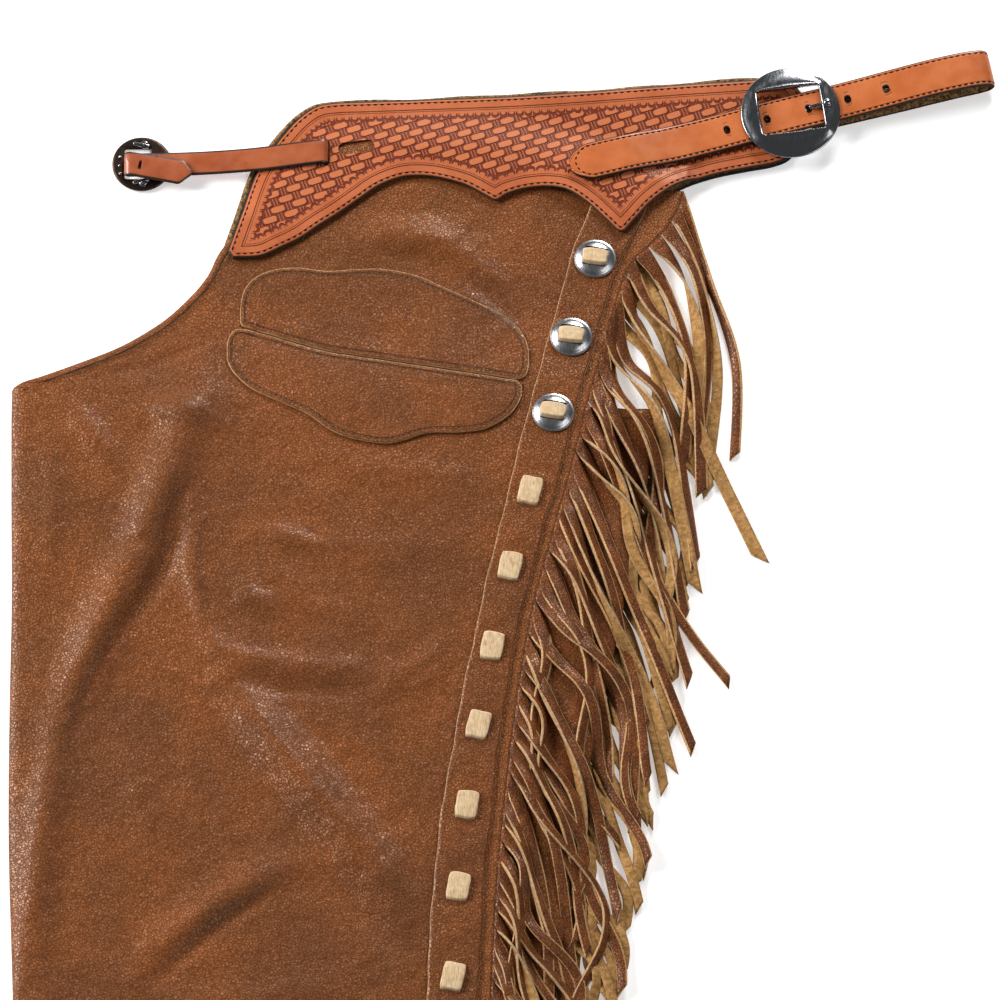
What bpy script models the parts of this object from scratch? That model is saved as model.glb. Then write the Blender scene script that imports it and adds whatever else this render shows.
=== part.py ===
"""Fringed shotgun chaps, folded in half at the front and laid flat on a table.

The upper leg lies face up: front panel, back panel, thigh pocket, the strip laced over the
outside seam and its fringe. The lower leg is hidden under it. The tooled belt yoke ends in a
round buckle at the back, and the belt strap loops round to it from the lower yoke.

All sizes are in millimetres until the last step. x runs across from the inner fold, y up
from the hem and z up from the table.
"""

import math

import bmesh
import bpy
import numpy as np
from mathutils import Matrix, Vector

MM = 0.001
GAP = 0.3  # between neighbouring pieces

# ---- leather thicknesses and heights of the stack ----
LEG_WALL = 1.7
YOKE_WALL = 3.0
STRAP_WALL = 3.2
FRINGE_WALL = 1.2
STRIP_WALL = 1.5
POCKET_WALL = 1.5
FOUR_LAYERS = 9.0  # top of the hidden layers below the crotch
TWO_LAYERS = 5.0  # and above it, where only the front panels lie on each other
CROTCH_HEIGHT = 792.0
BELT_RISE_START = 865.0

# ---- the leg: a row for each section, from the hem to under the yoke ----
LEG_COLUMNS = ("left_x", "left_y", "seam_y")
LEG_SECTIONS = (
    (14.0, 0.0, 0.0),
    (13.0, 100.0, 100.0),
    (11.0, 200.0, 200.0),
    (8.0, 300.0, 300.0),
    (4.5, 400.0, 400.0),
    (2.0, 467.0, 465.0),
    (1.0, 520.0, 520.0),
    (1.0, 590.0, 588.0),
    (1.5, 657.0, 652.0),
    (0.5, 727.0, 716.0),
    (0.0, 778.0, 762.0),
    (3.0, 804.0, 788.0),
    (21.0, 815.5, 806.0),
    (64.0, 833.0, 830.0),
    (92.0, 851.0, 850.0),
    (111.0, 869.0, 868.0),
    (124.0, 886.0, 884.0),
    (133.0, 905.0, 898.0),
    (150.0, 925.0, 912.0),
    (172.0, 947.0, 925.0),
    (205.0, 968.0, 938.0),
)
FOLDED_SECTIONS = 10.6  # up to this section the left edge is a fold, above it a cut edge
YOKE_SECTION = 16.4  # from here up the lower yoke lies under the leg
PANEL_BOW = 14.0  # how far the top edge of the leg arches up under the yoke

# ---- the laced strip and the outer fold, by height ----
SEAM_COLUMNS = ("height", "strip_left", "strip_right", "outer_fold")
SEAM_SECTIONS = (
    (0.0, 256.0, 287.0, 313.0),
    (100.0, 257.0, 289.0, 319.0),
    (200.0, 259.0, 292.0, 326.0),
    (300.0, 262.0, 296.0, 335.0),
    (400.0, 266.5, 299.0, 348.0),
    (465.0, 270.5, 302.5, 358.0),
    (520.0, 277.0, 307.5, 365.0),
    (588.0, 288.0, 315.0, 378.0),
    (652.0, 300.0, 325.5, 390.5),
    (716.0, 313.5, 341.0, 401.5),
    (762.0, 324.0, 352.5, 409.5),
    (790.0, 330.5, 359.0, 416.0),
    (830.0, 340.5, 369.0, 425.0),
    (862.0, 348.5, 377.5, 432.0),
    (900.0, 358.0, 388.5, 440.0),
    (945.0, 373.0, 407.0, 450.0),
)
SEAM_INSET = 3.0  # the front panel ends this far inside the strip's right edge
FRINGE_EDGE_OUT = 8.0  # the fringe is uncut this far beyond the strip

# ---- section of a soft fold. Columns: inward from the edge, below the top of the wall ----
SOFT_FOLD = (
    (6.5, 7.8),
    (2.6, 7.2),
    (0.5, 5.6),
    (0.0, 3.9),
    (1.4, 2.1),
    (5.0, 0.8),
    (11.0, 0.2),
    (19.0, 0.0),
)
CUT_EDGE = (
    (0.0, 0.5),
    (0.8, 0.15),
    (1.6, 0.0),
    (2.6, 0.0),
    (4.0, 0.0),
    (7.0, 0.0),
    (12.0, 0.0),
    (19.0, 0.0),
)

# ---- edges of the hidden layers. Columns: inward from the edge, height ----
LEFT_LAYERS = (
    (2.0, 0.0),
    (0.8, 0.5),
    (0.8, 1.1),
    (1.8, 1.4),
    (0.8, 1.7),
    (0.8, 2.3),
    (2.2, 2.7),
    (8.6, 2.9),
    (8.6, 6.6),
    (11.5, 8.2),
    (18.0, 8.9),
)
RIGHT_LAYERS = (
    (8.8, 0.0),
    (8.4, 0.5),
    (8.4, 1.1),
    (9.2, 1.4),
    (8.4, 1.7),
    (8.4, 2.3),
    (9.2, 2.7),
    (8.6, 3.2),
    (8.6, 6.6),
    (11.5, 8.2),
    (18.0, 8.9),
)
# The same where the edges are cut. Columns: inward from the edge, share of the height.
FLAT_LAYERS = (
    (2.6, 0.0),
    (1.6, 0.12),
    (1.6, 0.34),
    (2.6, 0.42),
    (1.6, 0.5),
    (1.6, 0.74),
    (1.8, 0.82),
    (2.0, 0.88),
    (2.4, 0.93),
    (3.0, 0.97),
    (7.0, 1.0),
)
MOUTH_DEPTH = 26.0  # how far the open hem of the upper leg can be looked into
MOUTH_DROP = 3.0

# ---- folds of the soft leather. Columns: x0, y0, x1, y1, x2, y2, height, half width ----
FRONT_RIDGES = (
    (122.0, 800.0, 92.0, 735.0, 84.0, 690.0, 3.2, 15.0),
    (84.0, 700.0, 60.0, 645.0, 34.0, 575.0, 3.4, 14.0),
    (35.0, 580.0, 20.0, 500.0, 16.0, 400.0, 2.6, 11.0),
    (138.0, 596.0, 186.0, 530.0, 256.0, 440.0, 2.8, 13.0),
    (186.0, 474.0, 122.0, 446.0, 82.0, 398.0, 2.4, 12.0),
    (122.0, 745.0, 108.0, 660.0, 142.0, 606.0, 1.3, 8.0),
    (142.0, 606.0, 186.0, 598.0, 240.0, 607.0, 1.2, 8.0),
    (226.0, 590.0, 262.0, 600.0, 292.0, 634.0, 1.3, 9.0),
    (262.0, 912.0, 292.0, 898.0, 320.0, 872.0, 1.2, 10.0),
    (226.0, 908.0, 256.0, 918.0, 292.0, 904.0, 1.4, 11.0),
    (46.0, 352.0, 108.0, 306.0, 196.0, 322.0, 2.5, 13.0),
    (214.0, 268.0, 150.0, 214.0, 66.0, 236.0, 2.7, 14.0),
    (236.0, 372.0, 208.0, 300.0, 224.0, 232.0, 1.6, 10.0),
    (34.0, 168.0, 96.0, 118.0, 172.0, 146.0, 2.0, 12.0),
    (222.0, 118.0, 168.0, 72.0, 92.0, 66.0, 1.7, 12.0),
)
BACK_RIDGES = (
    (400.0, 752.0, 384.0, 700.0, 378.0, 640.0, 1.4, 6.0),
    (366.0, 600.0, 352.0, 552.0, 348.0, 500.0, 1.2, 6.0),
    (338.0, 420.0, 322.0, 372.0, 318.0, 330.0, 1.3, 6.0),
    (323.0, 240.0, 314.0, 196.0, 313.0, 150.0, 1.0, 4.0),
)
BACK_FOLD_ROOM = 1.4  # the strands lie this far above the flat of the back panel
BACK_HEM_RISE = 0.5
BACK_HEM_WIDTH = 11.0
BACK_HEM_FROM_STRIP = (14.0, 26.0)  # the turned hem only stands up this far out

# ---- the belt yoke, a row for each station from its front tip to the back buckle ----
# Columns: x and y of the top edge, x and y of the bottom edge.
YOKE_STATIONS = (
    (137.5, 903.0, 141.0, 898.0),
    (146.0, 930.0, 158.0, 899.0),
    (155.0, 959.0, 171.0, 905.0),
    (166.0, 978.0, 184.0, 912.0),
    (174.0, 989.5, 196.0, 921.0),
    (183.0, 1000.0, 209.0, 930.0),
    (194.0, 1008.0, 222.0, 940.0),
    (207.0, 1010.5, 234.0, 949.0),
    (225.0, 1011.2, 248.0, 955.0),
    (248.0, 1012.0, 261.0, 956.2),
    (266.0, 1012.8, 274.0, 954.5),
    (285.0, 1013.5, 290.0, 949.5),
    (303.0, 1014.3, 303.0, 942.0),
    (309.5, 1014.6, 309.5, 939.0),
    (317.0, 1015.0, 317.0, 943.5),
    (328.0, 1015.6, 329.0, 947.2),
    (342.0, 1016.5, 342.0, 948.0),
    (356.0, 1017.5, 355.0, 944.8),
    (369.0, 1018.5, 368.0, 935.5),
    (380.0, 1019.4, 379.5, 924.0),
    (389.0, 1020.2, 389.5, 915.0),
    (398.0, 1021.0, 398.0, 923.0),
    (408.0, 1021.8, 408.0, 935.0),
    (419.0, 1022.7, 419.0, 944.5),
    (433.0, 1023.8, 432.0, 952.5),
    (450.0, 1025.0, 450.0, 959.0),
    (468.0, 1026.3, 470.0, 963.5),
    (486.0, 1027.4, 488.0, 967.2),
    (498.0, 1026.4, 499.0, 973.0),
    (506.0, 1018.0, 506.0, 986.0),
)
YOKE_REST = 3.5  # underside of the upper yoke where it lies on the lower one
YOKE_LIFT = 3.8  # how much the leg between them lifts it
YOKE_RAMP = 34.0  # over this width it comes down again
STRIP_LIFT = 3.6  # more lift over the end of the laced strip
STRIP_LIFT_AT = (388.0, 938.0)
STRIP_LIFT_INNER = 26.0
STRIP_LIFT_OUTER = 62.0
YOKE_COLUMNS_ACROSS = 6
LOWER_YOKE_LEFT = 5.5  # the lower yoke shows this far beyond the upper one's left edge
LOWER_YOKE_UP = 4.6  # and this far beyond its top edge
LEG_TOP_LINE = (
    (130.0, 900.0),
    (148.0, 921.0),
    (159.0, 934.0),
    (177.0, 951.0),
    (205.0, 968.0),
    (245.0, 976.0),
    (300.0, 974.0),
    (360.0, 962.0),
    (404.0, 950.0),
    (432.0, 944.0),
    (452.0, 905.0),
    (500.0, 860.0),
)

# ---- slots of the yoke ----
STRAP_SLOT_AT = (200.6, 973.0)
STRAP_SLOT_SIZE = (3.6, 19.0)
OBLONG_SLOT_AT = (219.5, 977.0)
OBLONG_SLOT_SIZE = (23.0, 8.6)
OBLONG_SLOT_TURN = 8.0

# ---- belt strap: centre line from its tip, over the yoke, round the loop to the lower yoke ----
# Columns: x, y, z (None where it lies on the yoke), turn in degrees, width.
BILLET_TOP_RUN = (
    (357.5, 960.0, None, 15.5, 9.0),
    (361.0, 961.0, None, 15.5, 17.0),
    (368.0, 963.0, None, 15.5, 24.5),
    (374.0, 964.7, None, 15.5, 25.6),
    (397.0, 971.0, None, 15.8, 25.6),
    (421.0, 977.9, None, 16.2, 25.6),
    (445.0, 985.2, None, 16.6, 25.6),
    (470.0, 992.6, 8.6, 16.6, 25.6),
    (499.0, 1001.0, 8.6, 15.6, 25.6),
    (531.0, 1009.6, 8.7, 15.2, 25.6),
    (560.0, 1017.3, 10.6, 14.6, 25.6),
    (586.5, 1024.4, 12.2, 14.0, 25.6),
    (606.0, 1029.2, 12.6, 13.0, 25.6),
    (618.0, 1031.8, 12.2, 12.0, 25.6),
    (624.5, 1033.0, 10.6, 11.2, 25.6),
    (627.3, 1033.5, 7.3, 11.0, 25.6),
    (624.8, 1033.0, 3.8, 11.2, 25.6),
    (618.0, 1031.6, 2.0, 12.0, 25.6),
    (606.0, 1028.8, 1.6, 13.0, 25.6),
    (588.0, 1024.0, 1.6, 14.0, 25.6),
    (566.0, 1018.0, 1.6, 14.6, 25.6),
    (540.0, 1011.2, 1.6, 14.6, 25.6),
    (510.5, 1003.6, 1.6, 14.6, 25.6),
)
BILLET_HOLES = ((458.0, 989.0), (484.0, 996.6), (510.5, 1004.2), (535.8, 1010.8), (560.6, 1017.4))
BILLET_HOLE_RADIUS = 2.0
BILLET_HOLE_LOW = 4.6  # above the strap's lower run
BILLET_HOLE_HIGH = 17.0

# ---- round back buckle ----
CART_AT = (499.0, 1000.7)
CART_RADIUS = 32.0
CART_SOLE = 10.6
CART_PROFILE = ((32.0, 0.0), (32.0, 1.3), (30.4, 2.2), (26.5, 3.0), (10.0, 3.8))
CART_WINDOW_AT = (499.3, 1002.0)
CART_WINDOW = (40.5, 31.6)
CART_TURN = 8.5
STUD_FROM = (520.5, 1006.3)
STUD_TO = (510.9, 1004.4)
STUD_RADIUS = 1.5
STUD_ROOT = 2.2  # height of the stud's ends above the buckle's sole
STUD_TIP = 0.9

# ---- front strap and its small buckle ----
FRONT_STRAP_WALL = 2.2
FRONT_STRAP_RUN = (
    (200.6, 973.0, 8.6, 0.0, 16.8),
    (200.4, 973.0, 10.6, 0.0, 16.8),
    (198.2, 972.8, 12.3, 0.0, 16.8),
    (190.0, 972.0, 11.9, 3.0, 16.8),
    (176.0, 970.6, 10.6, 5.0, 16.8),
    (160.0, 969.2, 8.6, 4.0, 16.6),
    (142.0, 968.2, 6.9, 2.0, 16.4),
    (120.0, 967.4, 5.4, 1.0, 16.4),
    (98.0, 966.8, 4.8, 0.0, 16.4),
    (76.0, 966.4, 4.8, 0.0, 16.4),
    (72.6, 966.3, 5.3, 0.0, 16.4),
    (71.4, 966.2, 6.5, 0.0, 16.4),
    (72.6, 966.1, 7.7, 0.0, 16.4),
    (76.0, 965.6, 8.3, -6.0, 16.4),
    (90.0, 963.4, 8.4, -9.5, 16.6),
    (103.5, 961.0, 8.4, -10.0, 16.8),
    (108.0, 960.2, 8.4, -10.0, 13.5),
    (112.0, 959.6, 8.4, -10.0, 6.0),
)
DISC_AT = (81.6, 968.3)
DISC_RADIUS = 19.0
DISC_PROFILE = ((10.0, 0.0), (17.2, 0.9), (19.0, 1.9), (19.0, 2.8), (17.6, 3.1))
DISC_WINDOW_X = (70.6, 87.0)
DISC_WINDOW_Y = (957.4, 979.0)

# ---- thigh pocket, both patches. Columns: x, y of the upper edge, y of the lower edge ----
FACING_STATIONS = (
    (145.6, 862.0, 853.0),
    (147.0, 872.0, 850.0),
    (150.5, 879.5, 848.6),
    (157.0, 885.6, 846.4),
    (168.0, 890.0, 842.6),
    (183.0, 891.2, 837.6),
    (201.0, 889.0, 832.0),
    (219.0, 890.2, 828.8),
    (236.0, 890.6, 826.0),
    (258.0, 886.0, 822.2),
    (274.0, 878.4, 819.4),
    (294.0, 868.4, 816.0),
    (312.0, 859.4, 812.9),
    (323.0, 849.6, 811.0),
    (328.4, 840.0, 813.6),
    (330.4, 832.0, 821.0),
)
PATCH_STATIONS = (
    (137.2, 836.0, 826.0),
    (139.0, 842.6, 820.6),
    (143.5, 847.4, 813.4),
    (154.0, 846.0, 803.4),
    (174.0, 839.4, 793.4),
    (189.0, 834.4, 786.0),
    (204.0, 830.2, 774.6),
    (219.0, 827.6, 768.2),
    (238.0, 824.4, 765.0),
    (250.0, 822.4, 767.0),
    (266.0, 819.6, 772.6),
    (286.0, 816.2, 773.0),
    (302.0, 813.6, 775.4),
    (316.0, 811.0, 783.6),
    (322.6, 809.8, 791.6),
    (325.8, 806.0, 799.0),
)

# ---- conchos and lace on the strip ----
CONCHOS = ((373.0, 896.5), (357.6, 840.0), (346.0, 785.6))
CONCHO_RADIUS = 13.4
CONCHO_PROFILE = ((13.4, 0.0), (13.4, 0.7), (11.6, 2.1), (7.0, 3.6), (2.0, 4.2))
CONCHO_LACE = (16.0, 9.6)
CONCHO_LACE_WALL = 1.4
CONCHO_LACE_TURN = -9.0
CONCHO_LACE_UP = 0.6
LACE_SIZE = (14.2, 18.0)
LACE_WALL = 1.9
LACE_BOW = 0.25
LACE_HEIGHTS = (731.0, 678.0, 622.0, 567.0, 511.5, 455.0, 393.0, 335.0, 276.0, 217.0, 158.0, 99.0, 40.0)
LACE_TURN = -11.0

# ---- fringe ----
PITCH = 12.0
ROOT_WIDTH = 9.0
TIP_WIDTH = 6.6
BACKING_INSIDE = 12.0  # how far the root strip reaches under the laced strip
UPPER_STATIONS = 6  # sections of a strand, its root included
LOWER_STATIONS = 4
LEVEL_STEP = 1.65  # strands that cross lie this much higher
LOWER_LEVELS = 3
SIDE_ROOM = 0.4  # between strands on one level
ROOT_RAMP = (6.0, 34.0)  # over this stretch a strand rises from its root to its level
TIP_CUT = 9.0
STRAND_LENGTH = 190.0
LEAVING_ANGLE = 50.0  # below level, at the root
FALLING_ANGLE = 82.0  # and at the tip
FLOOR_PILE = 6.1  # on the table the upper fringe lies on the lower one, from this height
PILE_EDGE = (2.0, 34.0)  # it comes down to that height over this stretch beyond the leg
BACK_PANEL_TOP = (800.0, 848.0)  # above this height the back panel no longer lies under it
LOWER_BACKING = 6.0  # width of the lower fringe's root strip under the fold
SEAM_BACKING = 10.2  # and beside the seam, where it reaches back to the lower leg's edge
UPPER_STRETCH = (912.0, 846.0)  # of the lower leg's fringe, beside the seam
LOWER_STRETCH = (782.0, 46.0)  # and from under the outer fold
FRINGE_TOP_EDGE = (
    (430.0, 946.0),
    (427.0, 934.0),
    (419.0, 919.0),
    (408.0, 907.0),
    (399.0, 899.0),
    (393.0, 889.0),
)
FRINGE_STOP = 46.0  # the last root is this far above the hem
TUCKED_STRANDS = (2, 3)  # of the lower leg's upper stretch, caught between the legs
# Strands that fall out of the row. Columns: number from the top, x and y of three points on
# its way, width, how far the tip sinks from its level.
LOOSE_STRANDS = (
    (0, 445.0, 887.0, 463.0, 826.0, 462.0, 758.0, 6.0, 1.0),
    (1, 441.0, 889.0, 451.0, 822.0, 446.0, 760.0, 6.0, 0.0),
    (2, 437.0, 887.0, 445.0, 835.0, 440.0, 774.0, 8.0, 0.0),
    (3, 430.0, 883.0, 440.0, 830.0, 434.0, 747.0, 9.0, 0.0),
    (4, 420.0, 874.0, 433.0, 825.0, 429.0, 753.0, 9.0, 0.0),
    (5, 408.0, 865.0, 435.0, 821.0, 441.0, 731.0, 8.0, 0.0),
    (6, 402.0, 847.0, 434.0, 787.0, 480.0, 684.0, 9.0, 7.0),
    (7, 392.0, 830.0, 421.0, 788.0, 437.0, 678.0, 8.0, 0.0),
    (8, 385.0, 830.0, 414.0, 778.0, 437.0, 663.0, 8.0, 0.0),
    (9, 384.0, 811.0, 409.0, 757.0, 431.0, 640.0, 9.0, 0.0),
    (10, 382.0, 793.0, 404.0, 733.0, 416.0, 656.0, 9.0, 0.0),
    (12, 386.0, 761.0, 409.0, 684.0, 434.0, 597.0, 9.0, 0.0),
    (14, 392.0, 722.0, 419.0, 657.0, 460.0, 599.0, 8.0, 7.0),
    (17, 385.0, 684.0, 411.0, 617.0, 436.0, 551.0, 9.0, 0.0),
    (19, 376.0, 656.0, 404.0, 600.0, 422.0, 537.0, 9.0, 0.0),
)

# ---- colours of the materials: base colour, roughness, metallic ----
FINISHES = {
    "leg_leather": ((0.22, 0.085, 0.035, 1.0), 0.5, 0.0),
    "fringe_leather": ((0.20, 0.075, 0.033, 1.0), 0.6, 0.0),
    "tooled_leather": ((0.62, 0.20, 0.075, 1.0), 0.42, 0.0),
    "suede_lining": ((0.24, 0.16, 0.09, 1.0), 0.9, 0.0),
    "rawhide": ((0.78, 0.62, 0.38, 1.0), 0.55, 0.0),
    "bright_steel": ((0.80, 0.81, 0.83, 1.0), 0.14, 1.0),
    "brown_steel": ((0.12, 0.075, 0.045, 1.0), 0.38, 1.0),
}


def column(table, columns, name):
    """One column of a table as an array."""
    return np.array([row[columns.index(name)] for row in table], float)


def smoothstep(low, high, value):
    """0 below low, 1 above high and a soft change between them."""
    t = np.clip((np.asarray(value, float) - low) / (high - low), 0.0, 1.0)
    return t * t * (3.0 - 2.0 * t)


def smooth_curve(values, at):
    """Values at fractional rows of a list, on a Catmull-Rom curve through its rows."""
    values = np.asarray(values, float)
    at = np.clip(np.asarray(at, float), 0.0, len(values) - 1.0)
    i = np.minimum(at.astype(int), len(values) - 2)
    t = at - i
    if values.ndim > 1:
        t = t[..., None]
    before = values[np.maximum(i - 1, 0)]
    start, end = values[i], values[i + 1]
    after = values[np.minimum(i + 2, len(values) - 1)]
    leave, arrive = (end - before) / 2.0, (after - start) / 2.0
    return (
        start
        + leave * t
        + (3.0 * (end - start) - 2.0 * leave - arrive) * t**2
        + (2.0 * (start - end) + leave + arrive) * t**3
    )


def seam_x(name, height):
    """Where one of the seam's lines runs at a height."""
    heights = column(SEAM_SECTIONS, SEAM_COLUMNS, "height")
    rows = np.interp(height, heights, np.arange(len(heights)))
    return smooth_curve(column(SEAM_SECTIONS, SEAM_COLUMNS, name), rows)


def ridges(x, y, table):
    """Height of all folds of a table at a point."""
    total = 0.0
    t = np.linspace(0.0, 1.0, 17)
    for x0, y0, x1, y1, x2, y2, height, spread in table:
        bx = (1 - t) ** 2 * x0 + 2 * t * (1 - t) * x1 + t**2 * x2
        by = (1 - t) ** 2 * y0 + 2 * t * (1 - t) * y1 + t**2 * y2
        away = np.hypot(bx - x, by - y)
        nearest = int(np.argmin(away))
        fade = math.sin(math.pi * min(max(t[nearest], 0.04), 0.96)) ** 0.6
        total += height * fade * math.exp(-((away[nearest] / spread) ** 2))
    return total


def hidden_top(y):
    """Top of the hidden layers: four below the crotch, two above it."""
    return TWO_LAYERS + (FOUR_LAYERS - TWO_LAYERS) * (1.0 - smoothstep(CROTCH_HEIGHT, BELT_RISE_START, y))


def front_skin(x, y):
    """Underside of the front panel, flat at the seam."""
    near_seam = smoothstep(2.0, 26.0, float(seam_x("strip_left", y)) - x)
    return float(hidden_top(y)) + GAP + ridges(x, y, FRONT_RIDGES) * near_seam


def back_skin(x, y):
    """Underside of the back panel, with its turned hem a little higher."""
    beyond = x - float(seam_x("strip_right", y))
    hem = BACK_HEM_RISE * smoothstep(*BACK_HEM_FROM_STRIP, beyond)
    hem *= smoothstep(CROTCH_HEIGHT - BACK_HEM_WIDTH - 3.0, CROTCH_HEIGHT - BACK_HEM_WIDTH, y)
    return float(hidden_top(y)) + GAP + ridges(x, y, BACK_RIDGES) + float(hem)


def seam_floor(y):
    """Height on which the fringe's root strip lies, along the seam."""
    return float(hidden_top(y)) + GAP + LEG_WALL + GAP


def yoke_floor(x, y):
    """Underside of the upper yoke: lifted where the leg and the laced strip lie under it."""
    line = np.array(LEG_TOP_LINE)
    top_of_leg = np.interp(x, line[:, 0], line[:, 1])
    on_leg = 1.0 - float(smoothstep(0.0, YOKE_RAMP, y - top_of_leg))
    off_strip = math.hypot(x - STRIP_LIFT_AT[0], y - STRIP_LIFT_AT[1])
    on_strip = 1.0 - float(smoothstep(STRIP_LIFT_INNER, STRIP_LIFT_OUTER, off_strip))
    return YOKE_REST + YOKE_LIFT * on_leg + STRIP_LIFT * on_strip * on_leg


def principled(slot):
    """The material of one slot, made once."""
    if slot in bpy.data.materials:
        return bpy.data.materials[slot]
    colour, roughness, metallic = FINISHES[slot]
    material = bpy.data.materials.new(slot)
    material.use_nodes = True
    shader = material.node_tree.nodes["Principled BSDF"]
    shader.inputs["Base Color"].default_value = colour
    shader.inputs["Roughness"].default_value = roughness
    shader.inputs["Metallic"].default_value = metallic
    return material


def finish_object(name, bm, slot):
    """Turns a bmesh in millimetres into a named object in metres."""
    bmesh.ops.recalc_face_normals(bm, faces=bm.faces)
    bmesh.ops.triangulate(bm, faces=bm.faces, quad_method="SHORT_EDGE")
    bmesh.ops.scale(bm, vec=(MM, MM, MM), verts=bm.verts)
    mesh = bpy.data.meshes.new(name)
    bm.to_mesh(mesh)
    bm.free()
    mesh.materials.append(principled(slot))
    mesh.shade_smooth()
    mesh.set_sharp_from_angle(angle=math.radians(38.0))
    obj = bpy.data.objects.new(name, mesh)
    bpy.context.scene.collection.objects.link(obj)
    return obj


def add_grid(bm, points):
    """Vertices of a grid of points, row by row."""
    return [[bm.verts.new(p) for p in row] for row in points]


def close_wall(bm, outer, inner):
    """Faces of both sides of a wall and of its four borders."""
    rows, columns = len(outer), len(outer[0])
    for r in range(rows - 1):
        for c in range(columns - 1):
            bm.faces.new((outer[r][c], outer[r][c + 1], outer[r + 1][c + 1], outer[r + 1][c]))
            bm.faces.new((inner[r][c], inner[r + 1][c], inner[r + 1][c + 1], inner[r][c + 1]))
    for r in range(rows - 1):
        for c in (0, columns - 1):
            bm.faces.new((outer[r][c], outer[r + 1][c], inner[r + 1][c], inner[r][c]))
    for c in range(columns - 1):
        for r in (0, rows - 1):
            bm.faces.new((outer[r][c], outer[r][c + 1], inner[r][c + 1], inner[r][c]))


def leather_wall(name, outer, thickness, slot):
    """A wall of even thickness under a grid of outer points."""
    outer = np.asarray(outer, float)
    along = np.gradient(outer, axis=0)
    across = np.gradient(outer, axis=1)
    normal = np.cross(across, along)
    normal /= np.linalg.norm(normal, axis=2, keepdims=True)
    inner = outer - normal * thickness
    bm = bmesh.new()
    close_wall(bm, add_grid(bm, outer), add_grid(bm, inner))
    return finish_object(name, bm, slot)


def leather_slab(name, plan, floor, thickness, slot, soften=0.35):
    """A piece that lies on a floor given by a function of x and y, its edge a little rounded."""
    plan = np.asarray(plan, float)
    rows, columns = plan.shape[:2]
    top, bottom = [], []
    for r in range(rows):
        top.append([])
        bottom.append([])
        for c in range(columns):
            x, y = plan[r, c]
            low = floor(x, y)
            edge = soften if r in (0, rows - 1) or c in (0, columns - 1) else 0.0
            bottom[-1].append((x, y, low))
            top[-1].append((x, y, low + thickness - edge))
    bm = bmesh.new()
    close_wall(bm, add_grid(bm, top), add_grid(bm, bottom))
    return finish_object(name, bm, slot)


# ---- the leg ----


def leg_rows(rows):
    """Left and seam points of the leg's sections at fractional rows."""
    left_x = smooth_curve(column(LEG_SECTIONS, LEG_COLUMNS, "left_x"), rows)
    left_y = smooth_curve(column(LEG_SECTIONS, LEG_COLUMNS, "left_y"), rows)
    seam_y = smooth_curve(column(LEG_SECTIONS, LEG_COLUMNS, "seam_y"), rows)
    return left_x, left_y, seam_y


def bow(row, t):
    """How far a section arches up between its ends, towards the yoke."""
    return PANEL_BOW * float(smoothstep(12.0, 20.0, row)) * math.sin(math.pi * t)


def front_panel():
    """The upper leg's front panel, rolled round the inner fold."""
    rows = np.concatenate((np.linspace(0.0, 10.0, 16), np.linspace(10.5, 20.0, 15)))
    across = np.linspace(0.0, 1.0, 15)[1:]
    grid = []
    for row, left_x, left_y, seam_y in zip(rows, *leg_rows(rows)):
        folded = 1.0 - float(smoothstep(FOLDED_SECTIONS, FOLDED_SECTIONS + 1.1, row))
        right_x = float(seam_x("strip_right", seam_y)) - SEAM_INSET
        reach = SOFT_FOLD[-1][0]
        line = []
        for (fold_in, fold_drop), (cut_in, cut_drop) in zip(SOFT_FOLD, CUT_EDGE):
            inward = cut_in + (fold_in - cut_in) * folded
            drop = cut_drop + (fold_drop - cut_drop) * folded
            t = inward / (right_x - left_x)
            x, y = left_x + inward, left_y + (seam_y - left_y) * t + bow(row, t)
            line.append((x, y, front_skin(x, y) + LEG_WALL - drop))
        for t in across:
            x = left_x + reach + (right_x - left_x - reach) * t
            share = (x - left_x) / (right_x - left_x)
            y = left_y + (seam_y - left_y) * share + bow(row, share)
            line.append((x, y, front_skin(x, y) + LEG_WALL))
        grid.append(line)
    return leather_wall("leg_front", grid, LEG_WALL, "leg_leather")


def back_panel():
    """The upper leg's back panel, from the seam round the outer fold, with its hemmed top edge."""
    heights = np.concatenate((np.linspace(0.0, 772.0, 17), (778.5, 790.0)))
    grid = []
    for y in heights:
        left_x = float(seam_x("strip_right", y)) - SEAM_INSET + 2.0 * GAP
        right_x = float(seam_x("outer_fold", y))
        reach = SOFT_FOLD[-2][0]
        line = []
        for t in np.linspace(0.0, 1.0, 6)[:-1]:
            x = left_x + (right_x - reach - left_x) * t
            line.append((x, y, back_skin(x, y) + LEG_WALL))
        for inward, drop in reversed(SOFT_FOLD[:-1]):
            x = right_x - inward
            line.append((x, y, back_skin(x, y) + LEG_WALL - drop))
        grid.append(line)
    return leather_wall("leg_back", grid, LEG_WALL, "leg_leather")


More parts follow.
